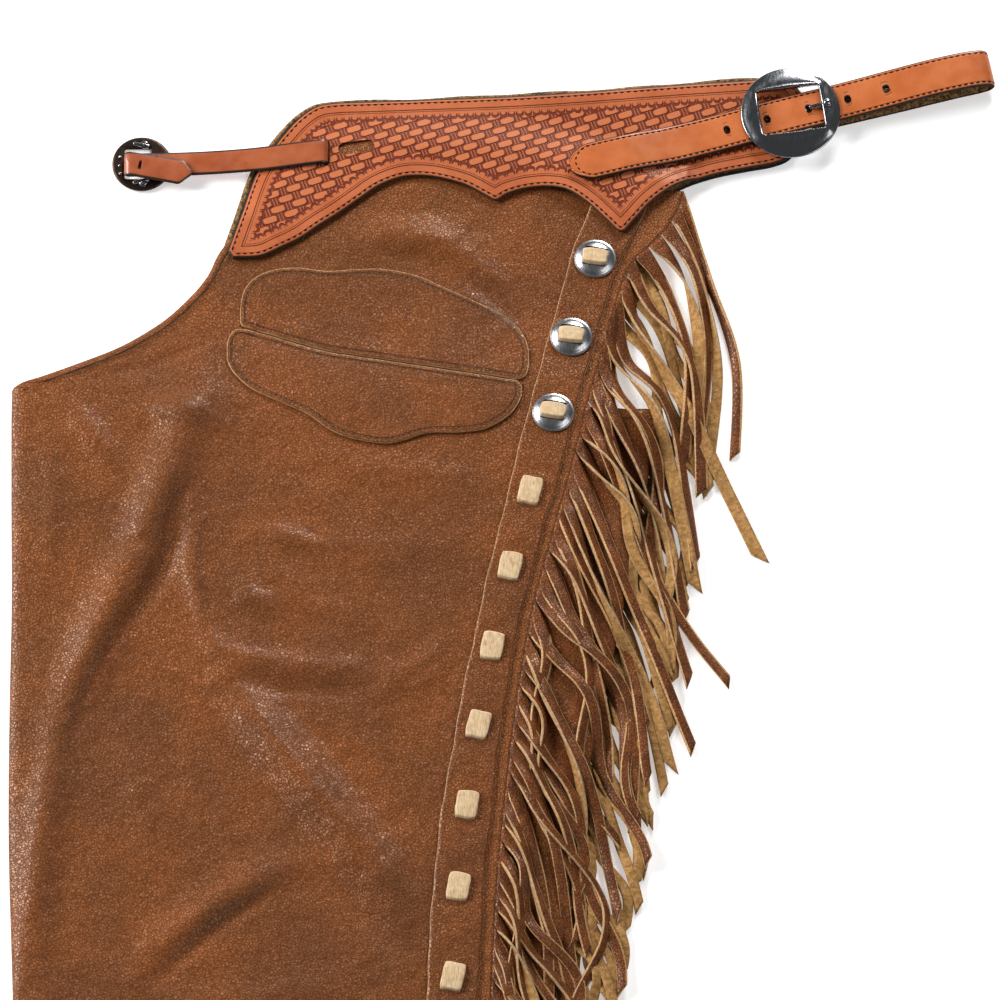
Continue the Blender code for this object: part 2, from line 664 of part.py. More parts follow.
def hidden_layers():
    """The hidden layers as one rounded solid with a step at each layer's edge."""
    rows = [*np.linspace(0.0, 9.6, 10), 10.4, 10.8, 11.0, 11.25, *np.arange(12.0, 16.01, 1.0)]
    rows = sorted(rows + [0.28, YOKE_SECTION - 0.1, YOKE_SECTION + 0.2, 18.0, 19.0, 20.0])
    loops = []
    for row, left_x, left_y, seam_y in zip(rows, *leg_rows(np.array(rows))):
        folded = 1.0 - float(smoothstep(FOLDED_SECTIONS, FOLDED_SECTIONS + 1.1, row))
        below_crotch = row <= 11.0
        right_y = seam_y if below_crotch else max(seam_y, CROTCH_HEIGHT + 1.6)
        edge = "outer_fold" if below_crotch else "strip_right"
        right_x = float(seam_x(edge, right_y)) - (0.0 if below_crotch else SEAM_INSET)
        low = 0.0 if row < YOKE_SECTION else YOKE_WALL + GAP
        mouth = MOUTH_DROP * (1.0 - float(smoothstep(0.6, 1.0, left_y / MOUTH_DEPTH)))
        left_top, right_top = float(hidden_top(left_y)), float(hidden_top(right_y))

        def side(layers, top, amount):
            points = []
            for (inward, height), (flat_in, share) in zip(layers, FLAT_LAYERS):
                height = min(height, top - mouth)
                flat = low + share * (top - low)
                points.append((flat_in + (inward - flat_in) * amount, flat + (height - flat) * amount))
            return points

        left = side(LEFT_LAYERS, left_top, folded)
        right = side(RIGHT_LAYERS, right_top, 1.0 if below_crotch else 0.0)
        loop = []
        for inward, z in left:
            loop.append((left_x + inward, left_y, z))
        for t in (0.2, 0.4, 0.6, 0.8):
            x, y = left_x + (right_x - left_x) * t, left_y + (right_y - left_y) * t + bow(row, t)
            loop.append((x, y, float(hidden_top(y)) - mouth - 0.1))
        for inward, z in reversed(right):
            loop.append((right_x - inward, right_y, z))
        loop.append(((left_x + right_x) / 2, (left_y + right_y) / 2 + bow(row, 0.5), low))
        loops.append(loop)
    bm = bmesh.new()
    rings = add_grid(bm, loops)
    count = len(rings[0])
    for lower, upper in zip(rings, rings[1:]):
        for i in range(count):
            j = (i + 1) % count
            bm.faces.new((lower[i], lower[j], upper[j], upper[i]))
    bm.faces.new(rings[0])
    bm.faces.new(rings[-1])
    return finish_object("under_leg", bm, "leg_leather")


# ---- belt ----


def yoke_plan(rows):
    """The yoke's outline at fractional stations: points of its top and of its bottom edge."""
    table = np.array(YOKE_STATIONS)
    at = smooth_curve(table, rows)
    return at[:, 0:2], at[:, 2:4]


def across_plan(top, bottom, columns):
    """A grid of plan points between two edges."""
    t = np.linspace(0.0, 1.0, columns)[None, :, None]
    return bottom[:, None, :] * (1.0 - t) + top[:, None, :] * t


def cut(obj, cutter):
    """Cuts a helper solid out of an object for good."""
    cutter.hide_render = True
    cutter.display_type = "WIRE"
    modifier = obj.modifiers.new("slot", "BOOLEAN")
    modifier.operation = "DIFFERENCE"
    modifier.solver = "EXACT"
    modifier.object = cutter


def slot_cutter(name, at, size, turn, low, high):
    """An upright block with round ends that cuts a slot."""
    length, width = size
    bm = bmesh.new()
    ends = []
    for side in (1, -1):
        for k in range(7):
            angle = math.radians(-90.0 + 30.0 * k)
            x = side * (length / 2 - width / 2 + math.cos(angle) * width / 2)
            ends.append((x, side * math.sin(angle) * width / 2, low))
    under = [bm.verts.new(p) for p in ends]
    upper = [bm.verts.new((x, y, high)) for x, y, _ in ends]
    bm.faces.new(under)
    bm.faces.new(upper)
    for i in range(len(ends)):
        j = (i + 1) % len(ends)
        bm.faces.new((under[i], under[j], upper[j], upper[i]))
    bmesh.ops.rotate(bm, verts=bm.verts, matrix=Matrix.Rotation(math.radians(turn), 3, "Z"))
    bmesh.ops.translate(bm, verts=bm.verts, vec=(at[0], at[1], 0.0))
    return finish_object(name, bm, "tooled_leather")


def upper_yoke():
    """The tooled belt half over the leg, with the strap slot and the oblong slot."""
    rows = np.linspace(0.0, len(YOKE_STATIONS) - 1.0, 40)
    plan = across_plan(*yoke_plan(rows), YOKE_COLUMNS_ACROSS)
    yoke = leather_slab("yoke_upper", plan, yoke_floor, YOKE_WALL, "tooled_leather")
    strap_slot = (STRAP_SLOT_SIZE[1], STRAP_SLOT_SIZE[0])
    cut(yoke, slot_cutter("cut_strap_slot", STRAP_SLOT_AT, strap_slot, 90.0, 2.0, 14.0))
    oblong = slot_cutter("cut_oblong_slot", OBLONG_SLOT_AT, OBLONG_SLOT_SIZE, OBLONG_SLOT_TURN, 2.0, 14.0)
    cut(yoke, oblong)
    return yoke


def lower_yoke():
    """The lower belt half, lining side up, which shows beyond the upper one."""
    rows = np.linspace(0.0, len(YOKE_STATIONS) - 1.0, 30)
    top, bottom = yoke_plan(rows)
    at_left = 1.0 - smoothstep(160.0, 225.0, top[:, 0])
    top[:, 0] -= LOWER_YOKE_LEFT * at_left
    top[:, 1] += LOWER_YOKE_UP * (1.0 - 0.6 * at_left)
    at_end = smoothstep(470.0, 506.0, top[:, 0])
    top[:, 1] -= LOWER_YOKE_UP * 0.5 * at_end
    bottom[:, 0] -= LOWER_YOKE_LEFT * (1.0 - smoothstep(140.0, 175.0, bottom[:, 0]))
    bottom[:, 1] += 3.0 * (1.0 - smoothstep(395.0, 425.0, bottom[:, 0]))
    plan = across_plan(top, bottom, 4)
    return leather_slab("yoke_lower", plan, lambda x, y: 0.0, YOKE_WALL, "suede_lining")


def strap(name, run, thickness, slot, floor=None):
    """A flat strap along a centre line. A row with no z lies on the floor function."""
    points, sides, widths = [], [], []
    for x, y, z, turn, width in run:
        angle = math.radians(turn)
        side = Vector((-math.sin(angle), math.cos(angle), 0.0))
        if z is None:
            steps = [k * width / 2 for k in (-1.0, -0.5, 0.0, 0.5, 1.0)]
            highest = max(floor(x + side.x * k, y + side.y * k) for k in steps)
            z = highest + YOKE_WALL + 1.5 * GAP + thickness / 2
        points.append(Vector((x, y, z)))
        sides.append(side)
        widths.append(width)
    bm = bmesh.new()
    rings = []
    for i, (point, side, width) in enumerate(zip(points, sides, widths)):
        tangent = points[min(i + 1, len(points) - 1)] - points[max(i - 1, 0)]
        normal = tangent.cross(side).normalized()
        half, rise = side * (width / 2), normal * (thickness / 2)
        soft = side * (width / 2 - thickness * 0.16)
        low = rise * 0.62
        ring = (point + half + low, point + soft + rise, point - soft + rise, point - half + low)
        ring += (point - half - low, point - soft - rise, point + soft - rise, point + half - low)
        rings.append([bm.verts.new(p) for p in ring])
    for lower, upper in zip(rings, rings[1:]):
        for i in range(8):
            j = (i + 1) % 8
            bm.faces.new((lower[i], lower[j], upper[j], upper[i]))
    bm.faces.new(rings[0])
    bm.faces.new(rings[-1])
    return finish_object(name, bm, slot)


def billet():
    """The belt strap, with its row of buckle holes."""
    body = strap("billet", BILLET_TOP_RUN, STRAP_WALL, "tooled_leather", yoke_floor)
    for number, (x, y) in enumerate(BILLET_HOLES, 1):
        bm = bmesh.new()
        height = BILLET_HOLE_HIGH - BILLET_HOLE_LOW
        radius = BILLET_HOLE_RADIUS
        bmesh.ops.create_cone(bm, cap_ends=True, segments=8, radius1=radius, radius2=radius, depth=height)
        bmesh.ops.translate(bm, verts=bm.verts, vec=(x, y, BILLET_HOLE_LOW + height / 2))
        cut(body, finish_object(f"cut_hole_{number}", bm, "tooled_leather"))
    return body


def turned(name, profile, at, slot, segments):
    """A round piece from a profile of (radius, height) rows, closed on its axis."""
    bm = bmesh.new()
    rings = []
    for radius, height in profile:
        ring = []
        for k in range(segments):
            angle = 2.0 * math.pi * k / segments
            ring.append(bm.verts.new((radius * math.cos(angle), radius * math.sin(angle), height)))
        rings.append(ring)
    for lower, upper in zip(rings, rings[1:]):
        for k in range(segments):
            j = (k + 1) % segments
            bm.faces.new((lower[k], lower[j], upper[j], upper[k]))
    bm.faces.new(rings[0])
    bm.faces.new(rings[-1])
    bmesh.ops.translate(bm, verts=bm.verts, vec=at)
    return finish_object(name, bm, slot)


def block_cutter(name, at, size, turn, low, high):
    """An upright block that cuts a window."""
    bm = bmesh.new()
    bmesh.ops.create_cube(bm, size=1.0)
    bmesh.ops.scale(bm, vec=(size[0], size[1], high - low), verts=bm.verts)
    bmesh.ops.rotate(bm, verts=bm.verts, matrix=Matrix.Rotation(math.radians(turn), 3, "Z"))
    bmesh.ops.translate(bm, verts=bm.verts, vec=(at[0], at[1], (low + high) / 2))
    return finish_object(name, bm, "bright_steel")


def rod(name, start, end, radius, slot):
    """A round bar between two points."""
    start, end = Vector(start), Vector(end)
    bm = bmesh.new()
    length = (end - start).length
    bmesh.ops.create_cone(bm, cap_ends=True, segments=10, radius1=radius, radius2=radius * 0.8, depth=length)
    turn = (end - start).to_track_quat("Z", "Y").to_matrix()
    bmesh.ops.rotate(bm, verts=bm.verts, matrix=turn)
    bmesh.ops.translate(bm, verts=bm.verts, vec=(start + end) / 2)
    return finish_object(name, bm, slot)


def join_solid(obj, other):
    """Fuses a helper solid to an object."""
    other.hide_render = True
    other.display_type = "WIRE"
    modifier = obj.modifiers.new("fuse", "BOOLEAN")
    modifier.operation = "UNION"
    modifier.solver = "EXACT"
    modifier.object = other


def back_buckle():
    """The large round buckle: a domed plate with a window and a fixed stud."""
    plate = turned("cart_buckle", CART_PROFILE, (*CART_AT, CART_SOLE), "bright_steel", 36)
    low, high = CART_SOLE - 2.0, CART_SOLE + 8.0
    cut(plate, block_cutter("cut_cart_window", CART_WINDOW_AT, CART_WINDOW, CART_TURN, low, high))
    start, end = (*STUD_FROM, CART_SOLE + STUD_ROOT), (*STUD_TO, CART_SOLE + STUD_TIP)
    join_solid(plate, rod("stud", start, end, STUD_RADIUS, "bright_steel"))
    return plate


def front_buckle():
    """The small round buckle, face down, with its window."""
    disc = turned("front_buckle", DISC_PROFILE, (*DISC_AT, 0.0), "brown_steel", 30)
    middle = (sum(DISC_WINDOW_X) / 2, sum(DISC_WINDOW_Y) / 2)
    size = (DISC_WINDOW_X[1] - DISC_WINDOW_X[0], DISC_WINDOW_Y[1] - DISC_WINDOW_Y[0])
    cut(disc, block_cutter("cut_disc_window", middle, size, 0.0, -2.0, 6.0))
    return disc


# ---- pocket, strip, conchos and lace ----


def patch(name, stations):
    """A pocket patch, made from the front panel's own surface moved out."""
    table = smooth_curve(np.array(stations), np.linspace(0.0, len(stations) - 1.0, 20))
    top = table[:, (0, 1)]
    bottom = table[:, (0, 2)]

    def floor(x, y):
        return front_skin(x, y) + LEG_WALL + GAP

    return leather_slab(name, across_plan(top, bottom, 4), floor, POCKET_WALL, "leg_leather", 0.2)


def strip_floor(x, y):
    """Underside of the laced strip: it lies on the fringe's root strip."""
    return seam_floor(y) + FRINGE_WALL + GAP


def strip_top(x, y, reach):
    """Level on which a piece of a given half height can lie on the strip."""
    return max(strip_floor(x, y + k * reach) for k in (-1.0, 0.0, 1.0)) + STRIP_WALL + GAP


def seam_strip():
    """The strip laced over the outside seam, from the hem to under the yoke."""
    stretches = ((0.0, 400.0, 6), (450.0, 760.0, 8), (786.0, 945.0, 11))
    heights = np.concatenate([np.linspace(*stretch) for stretch in stretches])
    bottom = np.stack((seam_x("strip_left", heights), heights), axis=1)
    top = np.stack((seam_x("strip_right", heights), heights - 6.0), axis=1)
    top[0, 1] = 0.0
    return leather_slab("seam_strip", across_plan(top, bottom, 5), strip_floor, STRIP_WALL, "leg_leather")


def concho(number, x, y):
    """A domed disc on the strip."""
    at = (x, y, strip_top(x, y, CONCHO_RADIUS))
    return turned(f"concho_{number}", CONCHO_PROFILE, at, "bright_steel", 18)


def pad(name, centre, size, turn, thickness, dome, slot):
    """A short piece of lace, bowed over what it lies on."""
    length, height = size
    grid_top, grid_low = [], []
    spin = math.radians(turn)
    for v in np.linspace(-1.0, 1.0, 4):
        top, low = [], []
        for u in np.linspace(-1.0, 1.0, 3):
            bulge = 1.0 + 0.05 * (1.0 - abs(v))
            a, b = u * length / 2 * bulge, v * height / 2
            x = centre[0] + a * math.cos(spin) - b * math.sin(spin)
            y = centre[1] + a * math.sin(spin) + b * math.cos(spin)
            base = centre[2] + dome * (1.0 - v * v)
            edge = 0.55 if abs(u) > 0.9 or abs(v) > 0.9 else 0.0
            low.append((x, y, base))
            top.append((x, y, base + thickness - edge))
        grid_top.append(top)
        grid_low.append(low)
    bm = bmesh.new()
    close_wall(bm, add_grid(bm, grid_top), add_grid(bm, grid_low))
    return finish_object(name, bm, slot)


def lace():
    """The lace shown over each concho, and the stitches down the strip."""
    for number, (x, y) in enumerate(CONCHOS, 1):
        at = (x, y + CONCHO_LACE_UP, strip_top(x, y, CONCHO_RADIUS) + CONCHO_PROFILE[-1][1] + GAP)
        pad(f"concho_lace_{number}", at, CONCHO_LACE, CONCHO_LACE_TURN, CONCHO_LACE_WALL, 0.0, "rawhide")
    for number, y in enumerate(LACE_HEIGHTS, 1):
        x = float(seam_x("strip_left", y) + seam_x("strip_right", y)) / 2
        z = strip_top(x, y, LACE_SIZE[1] / 2)
        pad(f"lace_{number:02d}", (x, y, z), LACE_SIZE, LACE_TURN, LACE_WALL, LACE_BOW, "rawhide")


# ---- fringe ----


def noise(index, channel):
    """A fixed number from -1 to 1 for each strand and channel."""
    value = math.sin(index * 12.9898 + channel * 78.233) * 43758.5453
    return 2.0 * (value - math.floor(value)) - 1.0


def resample(points, step):
    """Points at even steps along a polyline, with their distances."""
    points = np.asarray(points, float)
    lengths = np.concatenate(((0.0,), np.cumsum(np.hypot(*np.diff(points, axis=0).T))))
    at = np.arange(0.0, lengths[-1], step)
    return np.stack((np.interp(at, lengths, points[:, 0]), np.interp(at, lengths, points[:, 1])), axis=1)


def pile_height(x, y):
    """What the upper fringe lies on: the leg, then the lower fringe beyond its edge."""
    at_back = 1.0 - float(smoothstep(*BACK_PANEL_TOP, y))
    edge = float(seam_x("strip_right", y)) * (1.0 - at_back) + float(seam_x("outer_fold", y)) * at_back
    high = float(hidden_top(y)) + GAP + LEG_WALL + GAP + BACK_FOLD_ROOM * at_back
    return high + (FLOOR_PILE - high) * float(smoothstep(*PILE_EDGE, x - edge))


def strand_run(root, start_angle, end_angle, length):
    """Plan points of a strand that leaves its root at one angle and falls to another."""
    steps = 24
    x, y = root
    points = [(x, y)]
    for k in range(steps):
        t = (k + 0.5) / steps
        angle = math.radians(start_angle + (end_angle - start_angle) * t**0.6)
        x += math.cos(angle) * length / steps
        y -= math.sin(angle) * length / steps
        points.append((x, y))
    return np.array(points)


def comb(name, inner, outer, strand_of, floor, slot):
    """A narrow root strip with a strand on each step of its outer edge, as one solid."""
    bm = bmesh.new()
    rows = []
    for (ix, iy), (ox, oy) in zip(inner, outer):
        low = floor(ox, oy)
        inner_low = floor(ix, iy)
        under = ((ix, iy, inner_low), (ox, oy, low))
        over = ((ox, oy, low + FRINGE_WALL), (ix, iy, inner_low + FRINGE_WALL))
        rows.append([bm.verts.new(p) for p in (*under, *over)])
    for j, (a, b) in enumerate(zip(rows, rows[1:])):
        for i in (0, 2, 3):
            k = (i + 1) % 4
            bm.faces.new((a[i], a[k], b[k], b[i]))
        if j % 2:
            bm.faces.new((a[1], a[2], b[2], b[1]))
            continue
        ring = [a[1], a[2], b[2], b[1]]
        for section in strand_of(j // 2, outer[j], outer[j + 1]):
            following = [bm.verts.new(p) for p in section]
            for i in range(4):
                k = (i + 1) % 4
                bm.faces.new((ring[i], ring[k], following[k], following[i]))
            ring = following
        bm.faces.new(ring)
    bm.faces.new(rows[0])
    bm.faces.new(rows[-1])
    return finish_object(name, bm, slot)


def strand_sections(run, width, heights, cut_back, count):
    """Four-sided sections along a strand's plan points, its tip cut at a slant."""
    lengths = np.concatenate(((0.0,), np.cumsum(np.hypot(*np.diff(run, axis=0).T))))
    widths = strand_widths(width, count)
    sections = []
    for k in range(1, count):
        at = lengths[-1] * k / (count - 1)
        x, y = np.interp(at, lengths, run[:, 0]), np.interp(at, lengths, run[:, 1])
        ahead = min(at + 2.0, lengths[-1])
        behind = max(at - 2.0, 0.0)
        dx = np.interp(ahead, lengths, run[:, 0]) - np.interp(behind, lengths, run[:, 0])
        dy = np.interp(ahead, lengths, run[:, 1]) - np.interp(behind, lengths, run[:, 1])
        size = math.hypot(dx, dy)
        dx, dy = dx / size, dy / size
        half = widths[k] / 2.0
        slant = cut_back if k == count - 1 else 0.0
        low = heights(x, y, at)
        upper = (x - dy * half - dx * slant, y + dx * half - dy * slant)
        under = (x + dy * half, y - dx * half)
        sections.append(
            (
                (*upper, low),
                (*upper, low + FRINGE_WALL),
                (*under, low + FRINGE_WALL),
                (*under, low),
            )
        )
    return sections


def root_rows(line):
    """Edge points of the roots and of the gaps between them, along a root line."""
    fine = resample(line, 0.5)
    per_pitch, per_root = int(PITCH / 0.5), int(ROOT_WIDTH / 0.5)
    picks = []
    for start in range(0, len(fine) - per_root, per_pitch):
        picks += [start, start + per_root]
    return fine[picks]


def strand_widths(width, count):
    """Widths of a strand at even stations, from its root to its tip."""
    return width + (TIP_WIDTH - ROOT_WIDTH) * np.linspace(0.0, 1.0, count)


def free_level(points, width, placed):
    """The lowest level on which a strand stays clear of the strands already on it."""
    half = strand_widths(width, len(points)) / 2.0
    level = 0
    while True:
        room = []
        for at, other, other_half in placed:
            if at == level:
                away = np.hypot(*(points[:, None, :] - other[None, :, :]).T).T
                room.append((away - half[:, None] - other_half[None, :]).min())
        if not room or min(room) > SIDE_ROOM:
            placed.append((level, points, half))
            return level
        level += 1


def upper_roots():
    """Edge points of the upper fringe's roots, from under the yoke to above the hem."""
    heights = np.arange(880.0, FRINGE_STOP, -8.0)
    edge = [(float(seam_x("strip_right", y)) + FRINGE_EDGE_OUT, y) for y in heights]
    return root_rows(list(FRINGE_TOP_EDGE) + edge)


def upper_strands(outer):
    """Plan points, width, sinking of the tip and level of every strand of the upper fringe."""
    loose = {int(entry[0]): entry[1:] for entry in LOOSE_STRANDS}
    strands, placed = [], []
    for index, (upper, lower) in enumerate(zip(outer[::2], outer[1::2])):
        root = (upper + lower) / 2
        if index in loose:
            x1, y1, x2, y2, x3, y3, width, sink = loose[index]
            points = smooth_curve(((*root,), (x1, y1), (x2, y2), (x3, y3)), np.linspace(0.0, 3.0, 25))
        else:
            start = LEAVING_ANGLE + 4.0 * noise(index, 1)
            end = FALLING_ANGLE + 5.0 * noise(index // 3, 2) + 4.0 * noise(index, 3)
            points = strand_run(root, start, end, STRAND_LENGTH * (1.0 + 0.09 * noise(index, 4)))
            width, sink = ROOT_WIDTH, 0.0
        strands.append((points, width, sink, free_level(points, width, placed)))
    return strands


def upper_fringe():
    """The upper leg's fringe, falling over the back panel and the outer fold."""
    outer = upper_roots()
    inner = [(float(seam_x("strip_right", y)) - BACKING_INSIDE, y) for _, y in outer]
    strands = upper_strands(outer)

    def strand_of(index, upper, lower):
        points, width, sink, level = strands[index]
        root_level = seam_floor(float(upper[1] + lower[1]) / 2)
        length = float(np.hypot(*np.diff(points, axis=0).T).sum())

        def heights(x, y, at):
            settled = float(smoothstep(*ROOT_RAMP, at))
            sunk = sink * float(smoothstep(0.45 * length, length, at))
            return root_level + (pile_height(x, y) + level * LEVEL_STEP - sunk - root_level) * settled

        slant = TIP_CUT * (1.0 + 0.4 * noise(index, 5))
        return strand_sections(points, width, heights, slant, UPPER_STATIONS)

    return comb("fringe_upper", inner, outer, strand_of, lambda x, y: seam_floor(y), "fringe_leather")


def floor_fringe(name, line, inward, start_angle, end_angle, length, seed, tucked=()):
    """A stretch of the lower leg's fringe, which lies on the table. Tucked strands don't show."""
    outer = root_rows(line)
    inner = [(x - inward, y) for x, y in outer]

    def strand_of(index, upper, lower):
        if index in tucked:
            return []
        root = (np.asarray(upper) + lower) / 2
        level = index % LOWER_LEVELS
        start = start_angle + 4.0 * noise(index, seed)
        end = end_angle + 5.0 * noise(index // LOWER_LEVELS, seed + 1) + 3.0 * noise(index, seed + 2)

        def heights(x, y, at):
            return GAP + level * LEVEL_STEP * float(smoothstep(*ROOT_RAMP, at))

        points = strand_run(root, start, end, length * (1.0 + 0.12 * noise(index, seed + 3)))
        slant = TIP_CUT * (1.0 + 0.4 * noise(index, seed + 4))
        return strand_sections(points, ROOT_WIDTH, heights, slant, LOWER_STATIONS)

    return comb(name, inner, outer, strand_of, lambda x, y: GAP, "fringe_leather")


def lower_fringe():
    """The lower leg's fringe: beside the seam above the crotch, and from under the fold below it."""
    high = [(float(seam_x("strip_right", y)) + 6.0, y) for y in np.arange(*UPPER_STRETCH, -6.0)]
    floor_fringe("fringe_lower_top", high, SEAM_BACKING, 42.0, 72.0, 136.0, 11, TUCKED_STRANDS)
    low = [(float(seam_x("outer_fold", y)) - 0.8, y) for y in np.arange(*LOWER_STRETCH, -8.0)]
    floor_fringe("fringe_lower", low, LOWER_BACKING, 64.0, 84.0, 105.0, 23)


def set_on_table():
    """Moves the whole part so that its box is centred over the origin and rests on z = 0."""
    solids = [o for o in bpy.context.scene.objects if o.type == "MESH" and not o.hide_render]
    corners = np.array([v.co for o in solids for v in o.data.vertices])
    low, high = corners.min(axis=0), corners.max(axis=0)
    shift = Matrix.Translation((-(low[0] + high[0]) / 2, -(low[1] + high[1]) / 2, -low[2]))
    for obj in bpy.context.scene.objects:
        obj.data.transform(shift)


def main():
    for obj in list(bpy.data.objects):
        bpy.data.objects.remove(obj, do_unlink=True)
    front_panel()
    back_panel()
    hidden_layers()
    lower_yoke()
    upper_yoke()
    billet()
    back_buckle()
    strap("front_strap", FRONT_STRAP_RUN, FRONT_STRAP_WALL, "tooled_leather")
    front_buckle()
    patch("pocket_facing", FACING_STATIONS)
    patch("pocket_patch", PATCH_STATIONS)
    upper_fringe()
    lower_fringe()
    seam_strip()
    for number, (x, y) in enumerate(CONCHOS, 1):
        concho(number, x, y)
    lace()
    set_on_table()


main()
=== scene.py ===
"""Dresses a pair of fringed shotgun chaps, folded at the front and laid flat.

Sizes are in millimetres until a piece is finished: x runs across from the inner fold, y up
from the hem and z up from the table.
"""

import logging
import math
from dataclasses import dataclass, field
from enum import Enum
from typing import Callable, Optional, Sequence

import bmesh
import bpy
import numpy as np
from bmesh.types import BMEdge, BMesh, BMVert
from bpy.types import ID, Material, Node, NodeSocket, Object
from mathutils import Matrix, Vector


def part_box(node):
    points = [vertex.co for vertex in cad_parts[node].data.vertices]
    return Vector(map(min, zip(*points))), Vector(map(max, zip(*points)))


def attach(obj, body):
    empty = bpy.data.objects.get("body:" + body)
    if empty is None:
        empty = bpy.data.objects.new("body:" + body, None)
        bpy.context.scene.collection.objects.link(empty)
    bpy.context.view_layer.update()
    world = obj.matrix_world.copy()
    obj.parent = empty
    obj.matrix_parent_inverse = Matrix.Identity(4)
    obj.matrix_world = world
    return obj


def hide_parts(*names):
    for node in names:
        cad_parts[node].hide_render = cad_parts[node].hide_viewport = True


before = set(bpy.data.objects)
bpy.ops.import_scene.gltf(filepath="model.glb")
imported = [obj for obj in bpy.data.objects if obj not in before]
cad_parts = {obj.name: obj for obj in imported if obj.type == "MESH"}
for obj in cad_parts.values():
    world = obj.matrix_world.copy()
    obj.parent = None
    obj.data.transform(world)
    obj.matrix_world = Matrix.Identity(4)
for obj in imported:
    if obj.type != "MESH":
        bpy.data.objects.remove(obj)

LOG = logging.getLogger("chaps")
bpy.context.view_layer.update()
MM = 0.001
SHIFT = np.array((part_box("leg_front")[0].x / MM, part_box("leg_back")[0].y / MM, 0))
GAP = 0.3

Array = np.ndarray
# takes u and v from 0 to 1 for the points of a grid, and gives x, y, z and any measures of each
Place = Callable[[Array, Array], Array]
Rows = Sequence[Sequence[float]]

# what the measure of the stitches says on their row
ON_ROW = 10


# ---- curves and heights


def smoothstep(low: float, high: float, value: Array) -> Array:
    """A soft change from 0 below low to 1 above high."""
    t = np.clip((np.asarray(value, float) - low) / (high - low), 0, 1)
    return t * t * (3 - 2 * t)


def smooth_curve(rows: Rows, at: Array) -> Array:
    """Values at fractional rows of a table, on a smooth curve through its rows.

    Args:
        rows: the table.
        at: fractional row numbers.

    Returns:
        One value, or one row of values, for each number.
    """
    values = np.asarray(rows, float)
    at = np.clip(np.asarray(at, float), 0, len(values) - 1)
    i = np.minimum(at.astype(int), len(values) - 2)
    t = at - i
    if values.ndim > 1:
        t = t[..., None]
    before = values[np.maximum(i - 1, 0)]
    start, end = values[i], values[i + 1]
    after = values[np.minimum(i + 2, len(values) - 1)]
    leave, arrive = (end - before) / 2, (after - start) / 2
    rise = 3 * (end - start) - 2 * leave - arrive
    return start + leave * t + rise * t**2 + (2 * (start - end) + leave + arrive) * t**3


def noise(index: int, channel: int) -> float:
    """A fixed number from -1 to 1."""
    value = math.sin(index * 12.9898 + channel * 78.233) * 43758.5453
    return 2 * (value - math.floor(value)) - 1


def polyline_lengths(points: Array) -> Array:
    """Distance along a line at each of its points."""
    steps = np.linalg.norm(np.diff(points, axis=0), axis=1)
    return np.concatenate(((0,), np.cumsum(steps)))


def rows_at(table: Array, lengths: Array, at: Array) -> Array:
    """Rows of a table at places along a line whose points lie at the given lengths."""
    return np.stack([np.interp(at, lengths, column) for column in table.T], axis=1)


def resample(points: Rows, step: float) -> Array:
    """Points at even steps along a line.

    Args:
        points: the line.
        step: distance between two points.

    Returns:
        The new points.
    """
    line = np.asarray(points, float)
    lengths = polyline_lengths(line)
    return rows_at(line, lengths, np.arange(0, lengths[-1], step))


def smoothed(values: Array, count: int) -> Array:
    """Running mean over an odd number of neighbours."""
    return np.convolve(np.pad(values, count // 2, mode="edge"), np.ones(count) / count, mode="valid")


def beside_row(offset: Array) -> Array:
    """The measure of the stitches at points that are so far off their row."""
    return np.clip(ON_ROW + offset, 0, 2 * ON_ROW)


def left_of(line: Array) -> Array:
    """Which way is left of a line at each of its points.

    Args:
        line: rows of x and y.

    Returns:
        Unit vectors.
    """
    heading = np.gradient(line, axis=0)
    heading /= np.maximum(np.linalg.norm(heading, axis=1, keepdims=True), 1e-6)
    return np.column_stack((-heading[:, 1], heading[:, 0]))


def turned_plan(x: float, y: float, spin: float, along: Array, across: Array) -> tuple[Array, Array]:
    """x and y of points that are given along and across a turned piece."""
    cos, sin = math.cos(spin), math.sin(spin)
    return x + along * cos - across * sin, y + along * sin + across * cos


def distance_to_line(x: Array, y: Array, line: Array) -> tuple[Array, Array]:
    """How far points are from a line, and where along it the nearest place is.

    Args:
        x: across.
        y: up.
        line: rows of x and y.

    Returns:
        The distances, and the lengths along the line.
    """
    fine = resample(line, 0.5)
    nearest = np.full(x.shape, 1e9)
    along = np.zeros(x.shape)
    for start in range(0, len(fine), 64):
        block = fine[start : start + 64]
        away = np.hypot(x[:, None] - block[None, :, 0], y[:, None] - block[None, :, 1])
        pick = away.argmin(axis=1)
        best = away[np.arange(len(x)), pick]
        closer = best < nearest
        nearest[closer] = best[closer]
        along[closer] = (start + pick[closer]) * 0.5
    return nearest, along


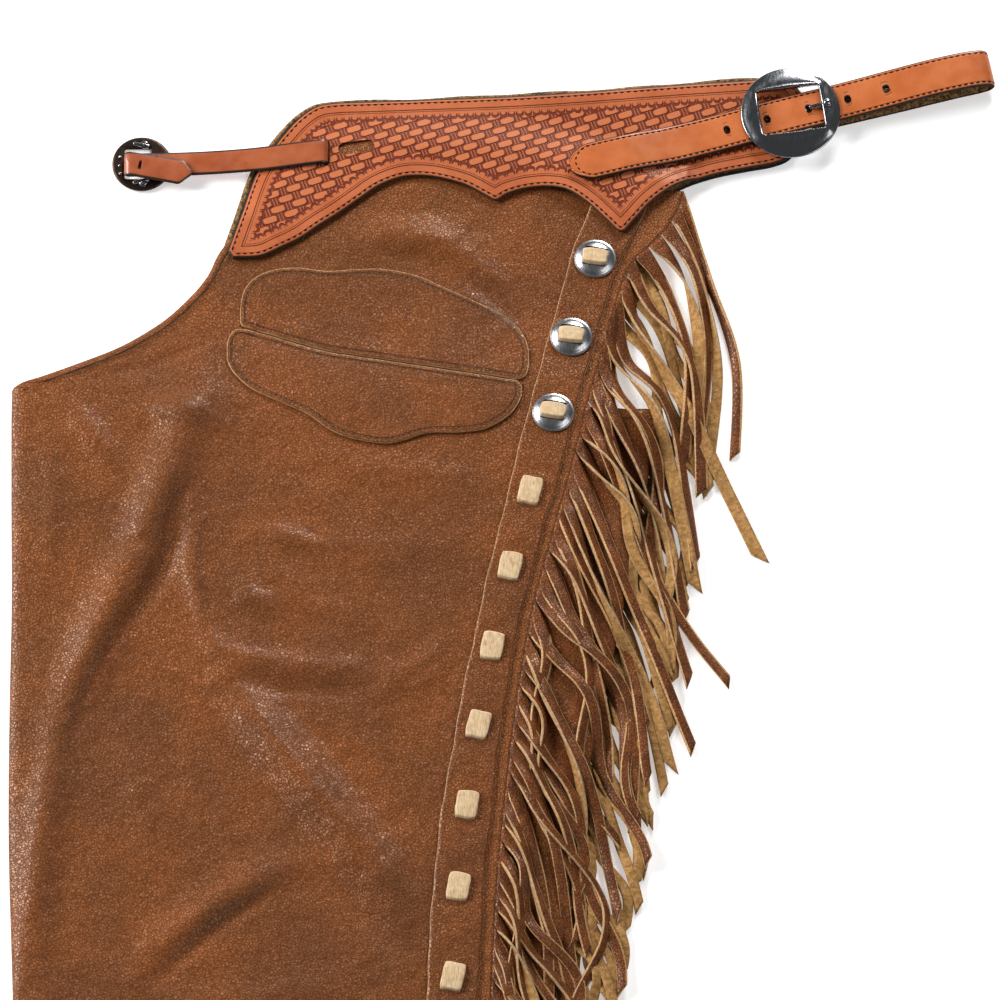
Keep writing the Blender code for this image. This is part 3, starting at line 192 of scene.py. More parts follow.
@dataclass(frozen=True)
class Drape:
    """How the folded leather lies: the height of each layer over the table.

    The fold tables have a row for each fold: x and y of its three guide points, height and
    half width.
    """

    leg_wall: float = 1.7
    yoke_wall: float = 3.0
    fringe_wall: float = 1.2
    strip_wall: float = 1.5
    pocket_wall: float = 1.5
    four_layers: float = 9.0
    two_layers: float = 5.0
    crotch_height: float = 792.0
    belt_rise: float = 865.0
    # x and y of the leg's top under the yoke
    leg_top: Rows = (
        (130, 900), (148, 921), (159, 934), (177, 951), (205, 968), (245, 976), (300, 974), (360, 962),
        (404, 950), (432, 944), (452, 905), (500, 860),
    )
    # height, left edge of the strip, right edge of the strip, outer fold
    seam: Rows = (
        (0, 256, 287, 313), (100, 257, 289, 319), (200, 259, 292, 326), (300, 262, 296, 335),
        (400, 266.5, 299, 348), (465, 270.5, 302.5, 358), (520, 277, 307.5, 365), (588, 288, 315, 378),
        (652, 300, 325.5, 390.5), (716, 313.5, 341, 401.5), (762, 324, 352.5, 409.5),
        (790, 330.5, 359, 416), (830, 340.5, 369, 425), (862, 348.5, 377.5, 432), (900, 358, 388.5, 440),
        (945, 373, 407, 450),
    )
    front_folds: Rows = (
        (122, 800, 92, 735, 84, 690, 3.8, 15), (84, 700, 60, 645, 34, 575, 4, 14),
        (35, 580, 20, 500, 16, 400, 2.6, 11), (138, 598, 186, 530, 260, 436, 4.3, 14),
        (186, 474, 122, 446, 82, 398, 2.4, 12), (122, 745, 108, 660, 142, 606, 1.3, 8),
        (122, 626, 160, 606, 240, 607, 1.5, 8), (226, 590, 262, 600, 292, 634, 1.3, 9),
        (262, 912, 292, 898, 320, 872, 1.2, 10), (222, 910, 252, 920, 292, 906, 2.2, 12),
        (46, 352, 108, 306, 196, 322, 2.5, 13), (214, 268, 150, 214, 66, 236, 2.7, 14),
        (236, 372, 208, 300, 224, 232, 1.6, 10), (34, 168, 96, 118, 172, 146, 2, 12),
        (222, 118, 168, 72, 92, 66, 1.7, 12),
    )
    # finer creases between the folds, which only the dressed leather has
    front_creases: Rows = (
        (110, 712, 98, 668, 62, 622, -1.9, 5.5), (116, 742, 100, 716, 98, 690, -0.9, 4),
        (70, 628, 48, 600, 42, 560, -0.8, 4), (126, 584, 166, 528, 206, 464, -0.5, 6),
        (156, 608, 204, 556, 246, 506, -0.3, 5.5), (204, 464, 230, 430, 250, 410, -0.7, 5),
        (180, 462, 130, 430, 96, 392, -1, 5), (124, 718, 116, 664, 140, 616, -0.6, 3.5),
        (150, 598, 190, 588, 236, 594, -0.7, 4), (246, 596, 270, 606, 296, 640, -0.6, 3.5),
        (168, 858, 150, 836, 148, 824, -0.4, 4), (296, 884, 314, 868, 330, 848, -0.9, 5),
        (270, 900, 296, 884, 318, 858, -0.7, 5), (232, 900, 250, 902, 268, 896, -0.5, 5),
        (60, 815, 96, 820, 126, 842, -0.5, 4), (34, 790, 56, 776, 66, 742, 1.4, 9),
        (24, 770, 30, 720, 22, 664, 0.7, 7), (196, 760, 240, 740, 300, 742, 0.6, 9),
        (184, 700, 230, 680, 300, 700, 0.5, 10), (160, 690, 180, 650, 230, 640, 0.5, 8),
        (70, 560, 90, 520, 88, 470, 0.7, 8), (112, 560, 120, 520, 150, 480, 0.6, 8),
        (52, 340, 110, 294, 190, 308, -1.1, 5), (204, 256, 150, 202, 76, 222, -1, 5),
        (226, 352, 198, 300, 212, 242, -0.7, 4), (40, 156, 96, 106, 164, 134, -0.8, 4.5),
        (30, 292, 52, 250, 48, 196, 0.8, 8), (230, 196, 190, 160, 200, 110, 0.7, 9),
        (96, 380, 150, 372, 214, 392, 0.7, 9), (120, 54, 150, 36, 200, 40, 0.6, 8),
        (84, 786, 104, 794, 126, 782, 2.1, 10), (160, 704, 176, 700, 194, 694, 1.5, 7),
        (142, 661, 156, 658, 172, 650, 1.2, 7), (114, 684, 116, 660, 126, 634, 0.6, 4),
    )
    back_folds: Rows = (
        (400, 752, 384, 700, 378, 640, 1.4, 6), (366, 600, 352, 552, 348, 500, 1.2, 6),
        (338, 420, 322, 372, 318, 330, 1.3, 6), (323, 240, 314, 196, 313, 150, 1, 4),
    )

    def seam_x(self, column: int, height: Array) -> Array:
        """x of the strip's left edge (column 1), its right edge (2) or the outer fold (3) at each height."""
        table = np.asarray(self.seam)
        return smooth_curve(table[:, column], np.interp(height, table[:, 0], np.arange(len(table))))

    def beside_seam(self, column: int, offset: float, height: Array) -> Array:
        """Points at an offset from one of the seam's lines."""
        return np.column_stack((self.seam_x(column, height) + offset, height))

    def folds(self, x: Array, y: Array, table: Rows) -> Array:
        """Height that all folds of a table add.

        Args:
            x: across.
            y: up.
            table: the folds.

        Returns:
            The added height at each point.
        """
        total = np.zeros(np.shape(x))
        t = np.linspace(0, 1, 33)
        for x0, y0, x1, y1, x2, y2, height, spread in table:
            bend_x = (1 - t) ** 2 * x0 + 2 * t * (1 - t) * x1 + t**2 * x2
            bend_y = (1 - t) ** 2 * y0 + 2 * t * (1 - t) * y1 + t**2 * y2
            reach = 3.2 * spread
            near = (x > bend_x.min() - reach) & (x < bend_x.max() + reach)
            near &= (y > bend_y.min() - reach) & (y < bend_y.max() + reach)
            away = np.hypot(bend_x - x[near, None], bend_y - y[near, None])
            at = np.clip(t[away.argmin(axis=1)], 0.04, 0.96)
            total[near] += height * np.sin(np.pi * at) ** 0.6 * np.exp(-((away.min(axis=1) / spread) ** 2))
        return total

    def hidden_top(self, y: Array) -> Array:
        """Top of the hidden layers: four below the crotch, two above it."""
        rise = 1 - smoothstep(self.crotch_height, self.belt_rise, y)
        return self.two_layers + (self.four_layers - self.two_layers) * rise

    def front_skin(self, x: Array, y: Array) -> Array:
        """Underside of the front panel, with its folds, creases and slack.

        Args:
            x: across.
            y: up.

        Returns:
            Height at each point.
        """
        near_seam = smoothstep(2, 26, self.seam_x(1, y) - x)
        slack = 0.28 * np.sin(x / 17 + 1.3 * np.sin(y / 41)) * np.sin(y / 29 + np.sin(x / 37))
        slack += 0.12 * np.sin(x / 7.3 + y / 23) * np.sin(y / 11 - x / 31)
        raised = 2.1 * self.folds(x, y, self.front_folds) + 2.5 * self.folds(x, y, self.front_creases) + slack
        return self.hidden_top(y) + GAP + raised * near_seam

    def back_skin(self, x: Array, y: Array) -> Array:
        """Height of the underside of the back panel."""
        hem = 0.5 * smoothstep(14, 26, x - self.seam_x(2, y)) * smoothstep(778, 781, y)
        return self.hidden_top(y) + GAP + self.folds(x, y, self.back_folds) + hem

    def seam_floor(self, y: Array) -> Array:
        """Height on which the fringe's root strip lies along the seam."""
        return self.hidden_top(y) + GAP + self.leg_wall + GAP

    def strip_floor(self, y: Array) -> Array:
        """Underside of the laced strip."""
        return self.seam_floor(y) + self.fringe_wall + GAP

    def yoke_floor(self, x: Array, y: Array) -> Array:
        """Underside of the upper yoke, lifted where leg and strip lie under it.

        Args:
            x: across.
            y: up.

        Returns:
            Height at each point.
        """
        on_leg = 1 - smoothstep(0, 34, y - np.interp(x, *np.array(self.leg_top).T))
        on_strip = 1 - smoothstep(26, 62, np.hypot(x - 388, y - 938))
        return 3.5 + 3.8 * on_leg + 3.6 * on_strip * on_leg


DRAPE = Drape()


# ---- finishes


class Wire:
    """A value in a finish's node tree that can be reckoned with like a number."""

    def __init__(self, bench: "Bench", socket: NodeSocket) -> None:
        """Keeps the output socket that holds the value."""
        self.bench = bench
        self.socket = socket

    def math(self, operation: str, other: "float | Wire" = 0) -> "Wire":
        """Puts this value and another through a math node."""
        made = self.bench.node("ShaderNodeMath", {0: self, 1: other}, operation=operation)
        return Wire(self.bench, made.outputs[0])

    def __add__(self, other: "float | Wire") -> "Wire":
        """Sum."""
        return self.math("ADD", other)

    def __sub__(self, other: "float | Wire") -> "Wire":
        """Difference."""
        return self.math("SUBTRACT", other)

    def __mul__(self, other: "float | Wire") -> "Wire":
        """Product."""
        return self.math("MULTIPLY", other)

    def size(self) -> "Wire":
        """Its size without its sign."""
        return self.math("ABSOLUTE")

    def ramp(self, low: float, high: float, start: float = 0, end: float = 1) -> "Wire":
        """A soft change between two levels.

        Args:
            low: value where it starts.
            high: value where it ends.
            start: result at low.
            end: result at high.

        Returns:
            The result.
        """
        inputs = {0: self, 1: low, 2: high, 3: start, 4: end}
        made = self.bench.node("ShaderNodeMapRange", inputs, interpolation_type="SMOOTHSTEP")
        return Wire(self.bench, made.outputs[0])

    def fall(self, low: float, high: float, start: float = 1) -> "Wire":
        """A soft change from start at low to 0 at high."""
        return self.ramp(low, high, start, 0)

    def line(self, centre: float, half: float) -> "Wire":
        """1 at a value and 0 further than half from it."""
        return (self - centre).size().fall(0, half)


class Bench:
    """Builds the node tree of one finish."""

    def __init__(self, name: str) -> None:
        """Starts a material with one Principled shader.

        Args:
            name: of the material.
        """
        self.material = bpy.data.materials.new(name)
        self.material.use_nodes = True
        self.tree = self.material.node_tree
        self.shader = self.tree.nodes["Principled BSDF"]
        self.coordinates = self.node("ShaderNodeTexCoord", {}).outputs["Object"]

    def node(self, kind: str, inputs: dict, **settings: object) -> Node:
        """Adds a node and fills its inputs.

        Args:
            kind: type of the node.
            inputs: a number, colour, Wire or socket for each input.
            settings: its properties.

        Returns:
            The node.
        """
        made = self.tree.nodes.new(kind)
        for key, value in settings.items():
            setattr(made, key, value)
        for key, value in inputs.items():
            self.feed(made.inputs[key], value)
        return made

    def feed(self, target: NodeSocket, value: object) -> None:
        """Sets an input, or links it.

        Args:
            target: the input.
            value: what it gets.
        """
        if isinstance(value, Wire):
            value = value.socket
        if isinstance(value, tuple) and len(value) < len(target.default_value):
            value = (*value, 1)
        if isinstance(value, NodeSocket):
            self.tree.links.new(value, target)
        else:
            target.default_value = value

    def attribute(self, name: str) -> Wire:
        """A measure that the piece carries at its points."""
        return Wire(self, self.node("ShaderNodeAttribute", {}, attribute_name=name).outputs["Fac"])

    def turned(self, degrees: float, stretch: Sequence[float] = (1, 1, 1)) -> NodeSocket:
        """Object coordinates in millimetres, turned about z.

        Args:
            degrees: the turn.
            stretch: scale of each axis after it.

        Returns:
            The vector socket.
        """
        inputs = {"Vector": self.coordinates, "Rotation": (0, 0, math.radians(degrees))}
        inputs["Scale"] = tuple(1000 * s for s in stretch)
        return self.node("ShaderNodeMapping", inputs).outputs[0]

    def grain(self, millimetres: float, detail: float = 3, vector: object = None) -> Wire:
        """Soft cloudy noise of a size in millimetres."""
        inputs = {"Vector": vector or self.turned(0), "Scale": 1 / millimetres, "Detail": detail}
        return Wire(self, self.node("ShaderNodeTexNoise", inputs).outputs["Fac"])

    def pebbles(self, millimetres: float, vector: object = None) -> Wire:
        """Distance from the creases of a pebbled skin."""
        inputs = {"Vector": vector or self.turned(0), "Scale": 1 / millimetres}
        return Wire(self, self.node("ShaderNodeTexVoronoi", inputs, feature="DISTANCE_TO_EDGE").outputs[0])

    def wandering(self, millimetres: float, amount: float) -> NodeSocket:
        """Object coordinates in millimetres that wander.

        Args:
            millimetres: size of the waves.
            amount: how far they wander.

        Returns:
            The vector socket.
        """
        inputs = {"Vector": self.turned(0), "Scale": 1 / millimetres, "Detail": 2}
        noise_colour = self.node("ShaderNodeTexNoise", inputs).outputs["Color"]
        inputs = {0: noise_colour, 1: (amount,) * 3, 2: self.turned(0)}
        return self.node("ShaderNodeVectorMath", inputs, operation="MULTIPLY_ADD").outputs[0]

    def blend(self, share: "float | Wire", low: object, high: object) -> NodeSocket:
        """A colour between two."""
        inputs = {0: share, 6: low, 7: high}
        return self.node("ShaderNodeMix", inputs, data_type="RGBA").outputs[2]

    def relief(self, height: Wire, millimetres: float, under: object = None, strength: float = 1) -> object:
        """A bump.

        Args:
            height: from 0 to 1.
            millimetres: height of the relief.
            under: a bump below it.
            strength: how much of it shows.

        Returns:
            The normal socket.
        """
        inputs = {"Height": height, "Distance": millimetres * MM, "Strength": strength}
        if under is not None:
            inputs["Normal"] = under
        return self.node("ShaderNodeBump", inputs).outputs[0]

    def polish(self, normal: object, weight: float, roughness: float) -> None:
        """Puts a thin wax finish over the shader.

        Args:
            normal: bump socket of the finish.
            weight: how much of it.
            roughness: of the finish.
        """
        self.shader.inputs["Coat Weight"].default_value = weight
        self.shader.inputs["Coat Roughness"].default_value = roughness
        self.feed(self.shader.inputs["Coat Normal"], normal)

    def dress(self, colour: object, roughness: object, normal: object = None, **fixed: object) -> Material:
        """Connects the shader.

        Args:
            colour: base colour or socket.
            roughness: value or Wire.
            normal: bump socket.
            fixed: values of other sockets, with _ for a space.

        Returns:
            The material.
        """
        self.feed(self.shader.inputs["Base Color"], colour)
        self.feed(self.shader.inputs["Roughness"], roughness)
        if normal is not None:
            self.feed(self.shader.inputs["Normal"], normal)
        for name, value in fixed.items():
            self.feed(self.shader.inputs[name.replace("_", " ")], value)
        return self.material


Colour = tuple[float, float, float]


@dataclass(frozen=True)
class PebbledHide:
    """Soft full-grain chap leather with a fine pebble."""

    name: str = "chap_hide"
    # dark tone for clouds and cells, also the colour of the painted shade in creases and grooves
    dark_tone_and_painted_shade: Colour = (0.060, 0.015, 0.002)
    body: Colour = (0.206, 0.049, 0.0045)
    # worn: lighter tone for some cells, and the colour of the painted highlight on the pebble crowns
    worn: Colour = (0.46, 0.20, 0.062)
    raw_dark: Colour = (0.36, 0.19, 0.08)
    raw_light: Colour = (0.62, 0.40, 0.21)
    pebble: float = 1.9
    edge_from: float = 2.25

    def material(self) -> Material:
        """Grain, cloudy dye, painted shade in the pebble creases and the stitch groove, and painted highlight
        on the crowns.

        Returns:
            The material.
        """
        bench = Bench(self.name)
        warp = bench.grain(9, 2)
        skin = bench.wandering(4, 3.4)
        cells = bench.pebbles(self.pebble, skin)
        small = bench.pebbles(self.pebble * 0.5, skin)
        pattern = cells.ramp(0, 0.17) * 0.8 + small.ramp(0, 0.16) * 0.1 + cells * 0.16
        cloud = bench.grain(46, 4).ramp(0.34, 0.68)
        tone = bench.blend(cloud, self.body, tuple(c * 1.34 for c in self.body))
        tone = bench.blend(bench.grain(95, 3).fall(0.36, 0.66, 0.24), tone, self.dark_tone_and_painted_shade)
        inputs = {"Vector": skin, "Scale": 1 / self.pebble}
        own = Wire(bench, bench.node("ShaderNodeTexVoronoi", inputs, feature="F1").outputs["Color"])
        tone = bench.blend(own.fall(0, 0.5, 0.04), tone, self.dark_tone_and_painted_shade)
        tone = bench.blend(own.ramp(0.5, 1, 0, 0.02), tone, self.worn)
        # painted shade: the pebble creases darkened towards the dark colour
        painted_crease_shade = cells.fall(0, 0.24, 0.6)
        tone = bench.blend(painted_crease_shade, tone, self.dark_tone_and_painted_shade)
        # painted highlight: the pebble crowns lightened towards the worn colour, standing in for glints
        crown_highlight = cells.ramp(0.2, 0.5) * bench.grain(2.6, 2).ramp(0.42, 0.72) * warp.ramp(0.3, 0.62)
        tone = bench.blend(crown_highlight * 0.46, tone, self.worn)
        raw = (bench.attribute("raw") + bench.grain(1.6, 3) * 0.7).ramp(self.edge_from, self.edge_from + 0.5)
        tone = bench.blend(raw, tone, bench.blend(bench.grain(0.9, 3), self.raw_dark, self.raw_light))
        sewn = bench.attribute("sewn").line(ON_ROW, 1.3)
        # painted shade: the stitch groove darkened towards the dark colour
        tone = bench.blend(sewn * 0.8, tone, self.dark_tone_and_painted_shade)
        under = bench.relief(sewn.fall(0, 1), 1.1, bench.relief(bench.grain(0.8, 2), 0.02))
        under = bench.relief(bench.grain(14, 3), 2.6, under)
        normal = bench.relief(pattern, 0.46, under)
        roughness = cells.fall(0.02, 0.24, 0.98) + bench.grain(5, 3).ramp(0.3, 0.7, 0.28, 0.42)
        bench.polish(bench.relief(pattern, 0.035, bench.relief(bench.grain(14, 3), 0.8)), 0.16, 0.38)
        return bench.dress(tone, roughness, normal, Specular_IOR_Level=0.8, Specular_Tint=(1, 0.72, 0.46))


@dataclass(frozen=True)
class StrandHide:
    """Grain side of the fringe, smoother, and darker: its body is darkened partly as painted shade among the
    strands.
    """

    name: str = "fringe_grain"
    # colour of the painted shade in the grain's creases
    dark_tone_and_painted_shade: Colour = (0.035, 0.010, 0.004)
    # darkened partly as painted shade among the strands
    body: Colour = (0.122, 0.029, 0.0055)
    light: Colour = (0.240, 0.066, 0.013)
    uncut: Colour = (0.290, 0.090, 0.023)
    raw_dark: Colour = (0.44, 0.225, 0.085)
    raw_light: Colour = (0.70, 0.43, 0.20)
    edge_from: float = 2.2

    def material(self) -> Material:
        """Streaky brown with a fine grain.

        Returns:
            The material.
        """
        bench = Bench(self.name)
        cloud = bench.grain(14, 4).ramp(0.32, 0.7)
        tone = bench.blend(cloud, self.body, self.light)
        tone = bench.blend(bench.attribute("uncut"), tone, self.uncut)
        cells = bench.pebbles(1.9)
        # painted shade: the grain's creases darkened towards the dark colour
        tone = bench.blend(cells.fall(0, 0.18, 0.7), tone, self.dark_tone_and_painted_shade)
        raw = (bench.attribute("raw") + bench.grain(1.6, 3) * 0.8).ramp(self.edge_from, self.edge_from + 0.4)
        tone = bench.blend(raw, tone, bench.blend(bench.grain(0.9, 3), self.raw_dark, self.raw_light))
        normal = bench.relief(cells.ramp(0, 0.2), 0.3, bench.relief(bench.grain(14, 3), 2.2))
        bench.polish(bench.relief(cells.ramp(0, 0.2), 0.04), 0.14, 0.38)
        roughness = cells.fall(0.02, 0.24, 0.95) + bench.grain(6).ramp(0.3, 0.7, 0.36, 0.5)
        return bench.dress(tone, roughness, normal, Specular_IOR_Level=0.6, Specular_Tint=(1, 0.68, 0.42))


@dataclass(frozen=True)
class Suede:
    """Napped flesh side of a hide, or its cut edge."""

    name: str
    shade: Colour
    light: Colour
    nap: float = 0.9

    def material(self) -> Material:
        """Fibrous nap with a soft sheen.

        Returns:
            The material.
        """
        bench = Bench(self.name)
        clump = bench.grain(3.2, 4).ramp(0.3, 0.7)
        fine = bench.grain(self.nap, 4)
        tone = bench.blend(clump * 0.6 + fine.ramp(0.35, 0.65) * 0.4, self.shade, self.light)
        # painted shade: near black where a piece carries this measure, on the lining beside the tooled half's
        # dark edge
        tone = bench.blend(bench.attribute("burnished"), tone, (0.012, 0.008, 0.006))
        normal = bench.relief(fine, 0.35, bench.relief(clump, 0.3))
        return bench.dress(tone, 0.92, normal, Sheen_Weight=0.04, Sheen_Roughness=0.5, Specular_IOR_Level=0.1)


@dataclass(frozen=True)
class StampedSkirting:
    """Tooled belt leather: a stitched plain border round a basket-weave stamp."""

    name: str = "stamped_skirting"
    light: Colour = (0.49, 0.130, 0.046)
    body: Colour = (0.39, 0.088, 0.026)
    cut: Colour = (0.125, 0.013, 0.004)
    crown: Colour = (0.53, 0.158, 0.060)
    black: Colour = (0.012, 0.008, 0.007)
    bar: float = 14.6
    row: float = 5.5
    lean: float = 20.0
    field_from: float = 13.2

    def weave(self, bench: Bench) -> Wire:
        """Height of the stamped bars.

        Args:
            bench: the finish's bench.

        Returns:
            0 in the stamped cuts to 1 on the bars.
        """
        split = bench.node("ShaderNodeSeparateXYZ", {0: bench.turned(-self.lean)})
        across = Wire(bench, split.outputs[0])
        up = Wire(bench, split.outputs[1]) * (1 / self.row)
        number = up.math("FLOOR")
        shift = (number * 0.5).math("FRACT")
        place = ((across * (1 / self.bar)) + shift).math("FRACT") - 0.5
        rise = up.math("FRACT") - 0.5
        long = (place * (1 / 0.345)) * (place * (1 / 0.345))
        tall = (rise * (1 / 0.46)) * (rise * (1 / 0.46))
        bars = ((long * long) + (tall * tall)).fall(0.22, 1.15)
        posts = (place.size() - 0.43).size().fall(0.018, 0.055, 0.55)
        return bars + posts

    def material(self) -> Material:
        """Border, crescents and weave from the piece's own measures.

        Returns:
            The material.
        """
        bench = Bench(self.name)
        inset = bench.attribute("inset")
        along = bench.attribute("along")
        weave = self.weave(bench)
        mask = inset.ramp(self.field_from - 0.2, self.field_from + 0.5)
        turn = ((along * (1 / 5.3)).math("FRACT") - 0.5) * 5.3
        depth = inset - (self.field_from - 0.4)
        moon = ((turn * turn) + (depth * depth)).math("SQRT")
        shade = ((turn * turn) + ((depth + 1.2) * (depth + 1.2))).math("SQRT")
        crescent = moon.fall(2.3, 2.7) * shade.ramp(1.4, 2.1)
        grooves = inset.line(7.6, 0.55).math("MAXIMUM", inset.line(9, 0.4) * 0.6)
        stitch = inset.line(2.6, 0.7)
        flat = (grooves.math("MAXIMUM", crescent)).fall(0, 1)
        height = (weave * mask).math("MINIMUM", crescent.fall(0, 1)) + flat * mask.fall(0, 1)
        cloud = bench.grain(22, 4).ramp(0.3, 0.7)
        tone = bench.blend(cloud, self.body, self.light)
        streak = bench.grain(1.6, 5).ramp(0.4, 0.75, 0, 0.35)
        tone = bench.blend(streak, tone, self.light)
        tone = bench.blend(height.ramp(0.6, 1, 0, 0.7) * mask, tone, self.crown)
        tone = bench.blend(height.fall(0.05, 0.78, 0.95), tone, self.cut)
        tone = bench.blend(stitch * 0.45, tone, self.cut)
        tone = bench.blend(inset.fall(0.7, 1.3), tone, self.black)
        under = bench.relief(bench.grain(0.5, 3), 0.05)
        normal = bench.relief(stitch.fall(0, 1), 0.3, under)
        normal = bench.relief(height.ramp(0, 1), 1.25, normal)
        roughness = bench.grain(4).ramp(0.3, 0.7, 0.38, 0.5)
        return bench.dress(tone, roughness, normal, Specular_IOR_Level=0.35, Specular_Tint=(1, 0.85, 0.7))


@dataclass(frozen=True)
class StrapLeather:
    """Smooth oiled strap leather with dark edges, rubbed to a burnish."""

    name: str
    body: Colour = (0.475, 0.114, 0.028)
    light: Colour = (0.560, 0.156, 0.047)
    black: Colour = (0.018, 0.012, 0.010)
    groove: float = 2.4
    grooved: bool = True
    edge: float = 0.6
    gloss: float = 0.35

    def material(self) -> Material:
        """Even dye, faint streaks and a stitch groove.

        Returns:
            The material.
        """
        bench = Bench(self.name)
        inset = bench.attribute("inset")
        cloud = bench.grain(16, 4).ramp(0.3, 0.7)
        tone = bench.blend(cloud, self.body, self.light)
        speck = bench.grain(0.9, 4).ramp(0.5, 0.8, 0, 0.25)
        tone = bench.blend(speck, tone, tuple(c * 0.5 for c in self.body))
        under = bench.relief(bench.grain(0.6, 3), 0.05)
        if self.grooved:
            tone = bench.blend(inset.line(self.groove, 0.6) * 0.35, tone, self.black)
            under = bench.relief(inset.line(self.groove, 0.8).fall(0, 1), 0.3, under)
        tone = bench.blend(inset.fall(self.edge, self.edge + 0.6), tone, self.black)
        roughness = bench.grain(6).ramp(0.3, 0.7, 0.26, 0.38)
        return bench.dress(tone, roughness, under, Specular_IOR_Level=self.gloss)


@dataclass(frozen=True)
class Rawhide:
    """Cream lace with fine dark lines across its width."""

    name: str
    lined: bool = True
    body: Colour = (0.60, 0.40, 0.205)
    light: Colour = (0.70, 0.52, 0.31)
    dark: Colour = (0.30, 0.17, 0.07)

    def material(self) -> Material:
        """Cream with fibres.

        Returns:
            The material.
        """
        bench = Bench(self.name)
        tone = bench.blend(bench.grain(3, 3).ramp(0.3, 0.7), self.body, self.light)
        fibres = bench.grain(0.8, 4, bench.turned(12, (1.3, 0.12, 1)))
        amount = 0.6 if self.lined else 0.25
        tone = bench.blend(fibres.ramp(0.47, 0.66, 0, amount), tone, self.dark)
        normal = bench.relief(fibres, 0.25, bench.relief(bench.grain(0.5), 0.08))
        return bench.dress(tone, 0.7, normal, Sheen_Weight=0.2)


@dataclass(frozen=True)
class Steel:
    """Plated or browned hardware."""

    name: str
    body: Colour
    scuffed: Colour
    roughness: float

    def material(self) -> Material:
        """Polished metal with faint scuffs.

        Returns:
            The material.
        """
        bench = Bench(self.name)
        scuff = bench.grain(1.2, 5, bench.turned(30, (1, 0.2, 1)))
        tone = bench.blend(scuff.ramp(0.5, 0.75), self.body, self.scuffed)
        roughness = scuff.ramp(0.3, 0.8, self.roughness, self.roughness + 0.14)
        normal = bench.relief(bench.grain(2.5, 2), 0.04)
        return bench.dress(tone, roughness, normal, Metallic=1)


@dataclass(frozen=True)
class Thread:
    """Waxed sewing thread."""

    name: str
    body: Colour

    def material(self) -> Material:
        """Twisted strands.

        Returns:
            The material.
        """
        bench = Bench(self.name)
        twist = bench.grain(0.45, 2, bench.turned(40, (1, 0.3, 1)))
        darker = tuple(c * 0.45 for c in self.body)
        tone = bench.blend(twist.ramp(0.4, 0.6), self.body, darker)
        return bench.dress(tone, 0.75, bench.relief(twist, 0.1), Specular_IOR_Level=0.15)


class Stock(Enum):
    """The finishes that the pieces are made in."""

    HIDE = PebbledHide()
    STRAND = StrandHide()
    FLESH = Suede("flesh_side", (0.25, 0.120, 0.036), (0.54, 0.300, 0.110))
    # a lighter copy of the raw edge: painted light on the strip's rim, which lies in shade
    PALE_EDGE = Suede("painted_light_edge", (0.50, 0.30, 0.14), (0.74, 0.50, 0.27), 0.6)
    RAW_EDGE = Suede("raw_edge", (0.33, 0.185, 0.085), (0.60, 0.42, 0.24), 0.6)
    LINING = Suede("napped_lining", (0.035, 0.016, 0.007), (0.46, 0.27, 0.115), 1.6)
    BLACK_EDGE = Suede("black_edge", (0.012, 0.009, 0.008), (0.05, 0.032, 0.022), 0.8)
    STAMPED = StampedSkirting()
    BILLET = StrapLeather("billet_leather")
    STRAP = StrapLeather(
        "strap_leather", (0.30, 0.060, 0.015), (0.38, 0.095, 0.030), grooved=False, edge=1.0, gloss=0.7
    )
    LACE = Rawhide("rawhide_lace")
    TIE = Rawhide("concho_tie", False)
    PLATE = Steel("bright_plate", (0.30, 0.31, 0.33), (0.17, 0.18, 0.19), 0.14)
    SATIN = Steel("satin_plate", (0.42, 0.42, 0.43), (0.27, 0.27, 0.28), 0.26)
    BROWNED = Steel("browned_plate", (0.062, 0.040, 0.030), (0.030, 0.018, 0.013), 0.34)
    BLACK_THREAD = Thread("black_thread", (0.012, 0.006, 0.005))
    BROWN_THREAD = Thread("brown_thread", (0.33, 0.15, 0.075))

    def material(self) -> Material:
        """The material, made once."""
        name = self.value.name
        return bpy.data.materials.get(name) or self.value.material()


# ---- bench work


SHARP = math.radians(40.0)
GRAIN_OUT = (Stock.HIDE, Stock.FLESH, Stock.RAW_EDGE)


def shape_grid(bm: BMesh, rows: int, columns: int, place: Place) -> Array:
    """Adds a grid and lays each of its points in place.

    Args:
        bm: the mesh that gets it.
        rows: steps along v.
        columns: steps along u.
        place: gives the points and their measures.

    Returns:
        The measures, a row for each new vertex.
    """
    made = bmesh.ops.create_grid(bm, x_segments=columns, y_segments=rows, size=1, calc_uvs=True)["verts"]
    flat = np.array([v.co for v in made])
    laid = place((flat[:, 0] + 1) / 2, (flat[:, 1] + 1) / 2)
    for vert, point in zip(made, laid):
        vert.co = point[:3]
    return laid[:, 3:]


def new_bench_mesh() -> BMesh:
    """An empty mesh with a UV map."""
    bm = bmesh.new()
    bm.loops.layers.uv.new("UVMap")
    return bm


def edges_of(verts: list[BMVert]) -> list[BMEdge]:
    """The edges at some vertices, each once and always in the same order."""
    return list(dict.fromkeys(edge for vert in verts for edge in vert.link_edges))


def draw_on(bm: BMesh, edges: list[BMEdge]) -> tuple[list[BMEdge], ...]:
    """Draws a ring of edges on, and gives the new ring's edges and its vertices."""
    drawn = bmesh.ops.extrude_edge_only(bm, edges=edges)["geom"]
    return tuple([part for part in drawn if isinstance(part, kind)] for kind in (BMEdge, BMVert))


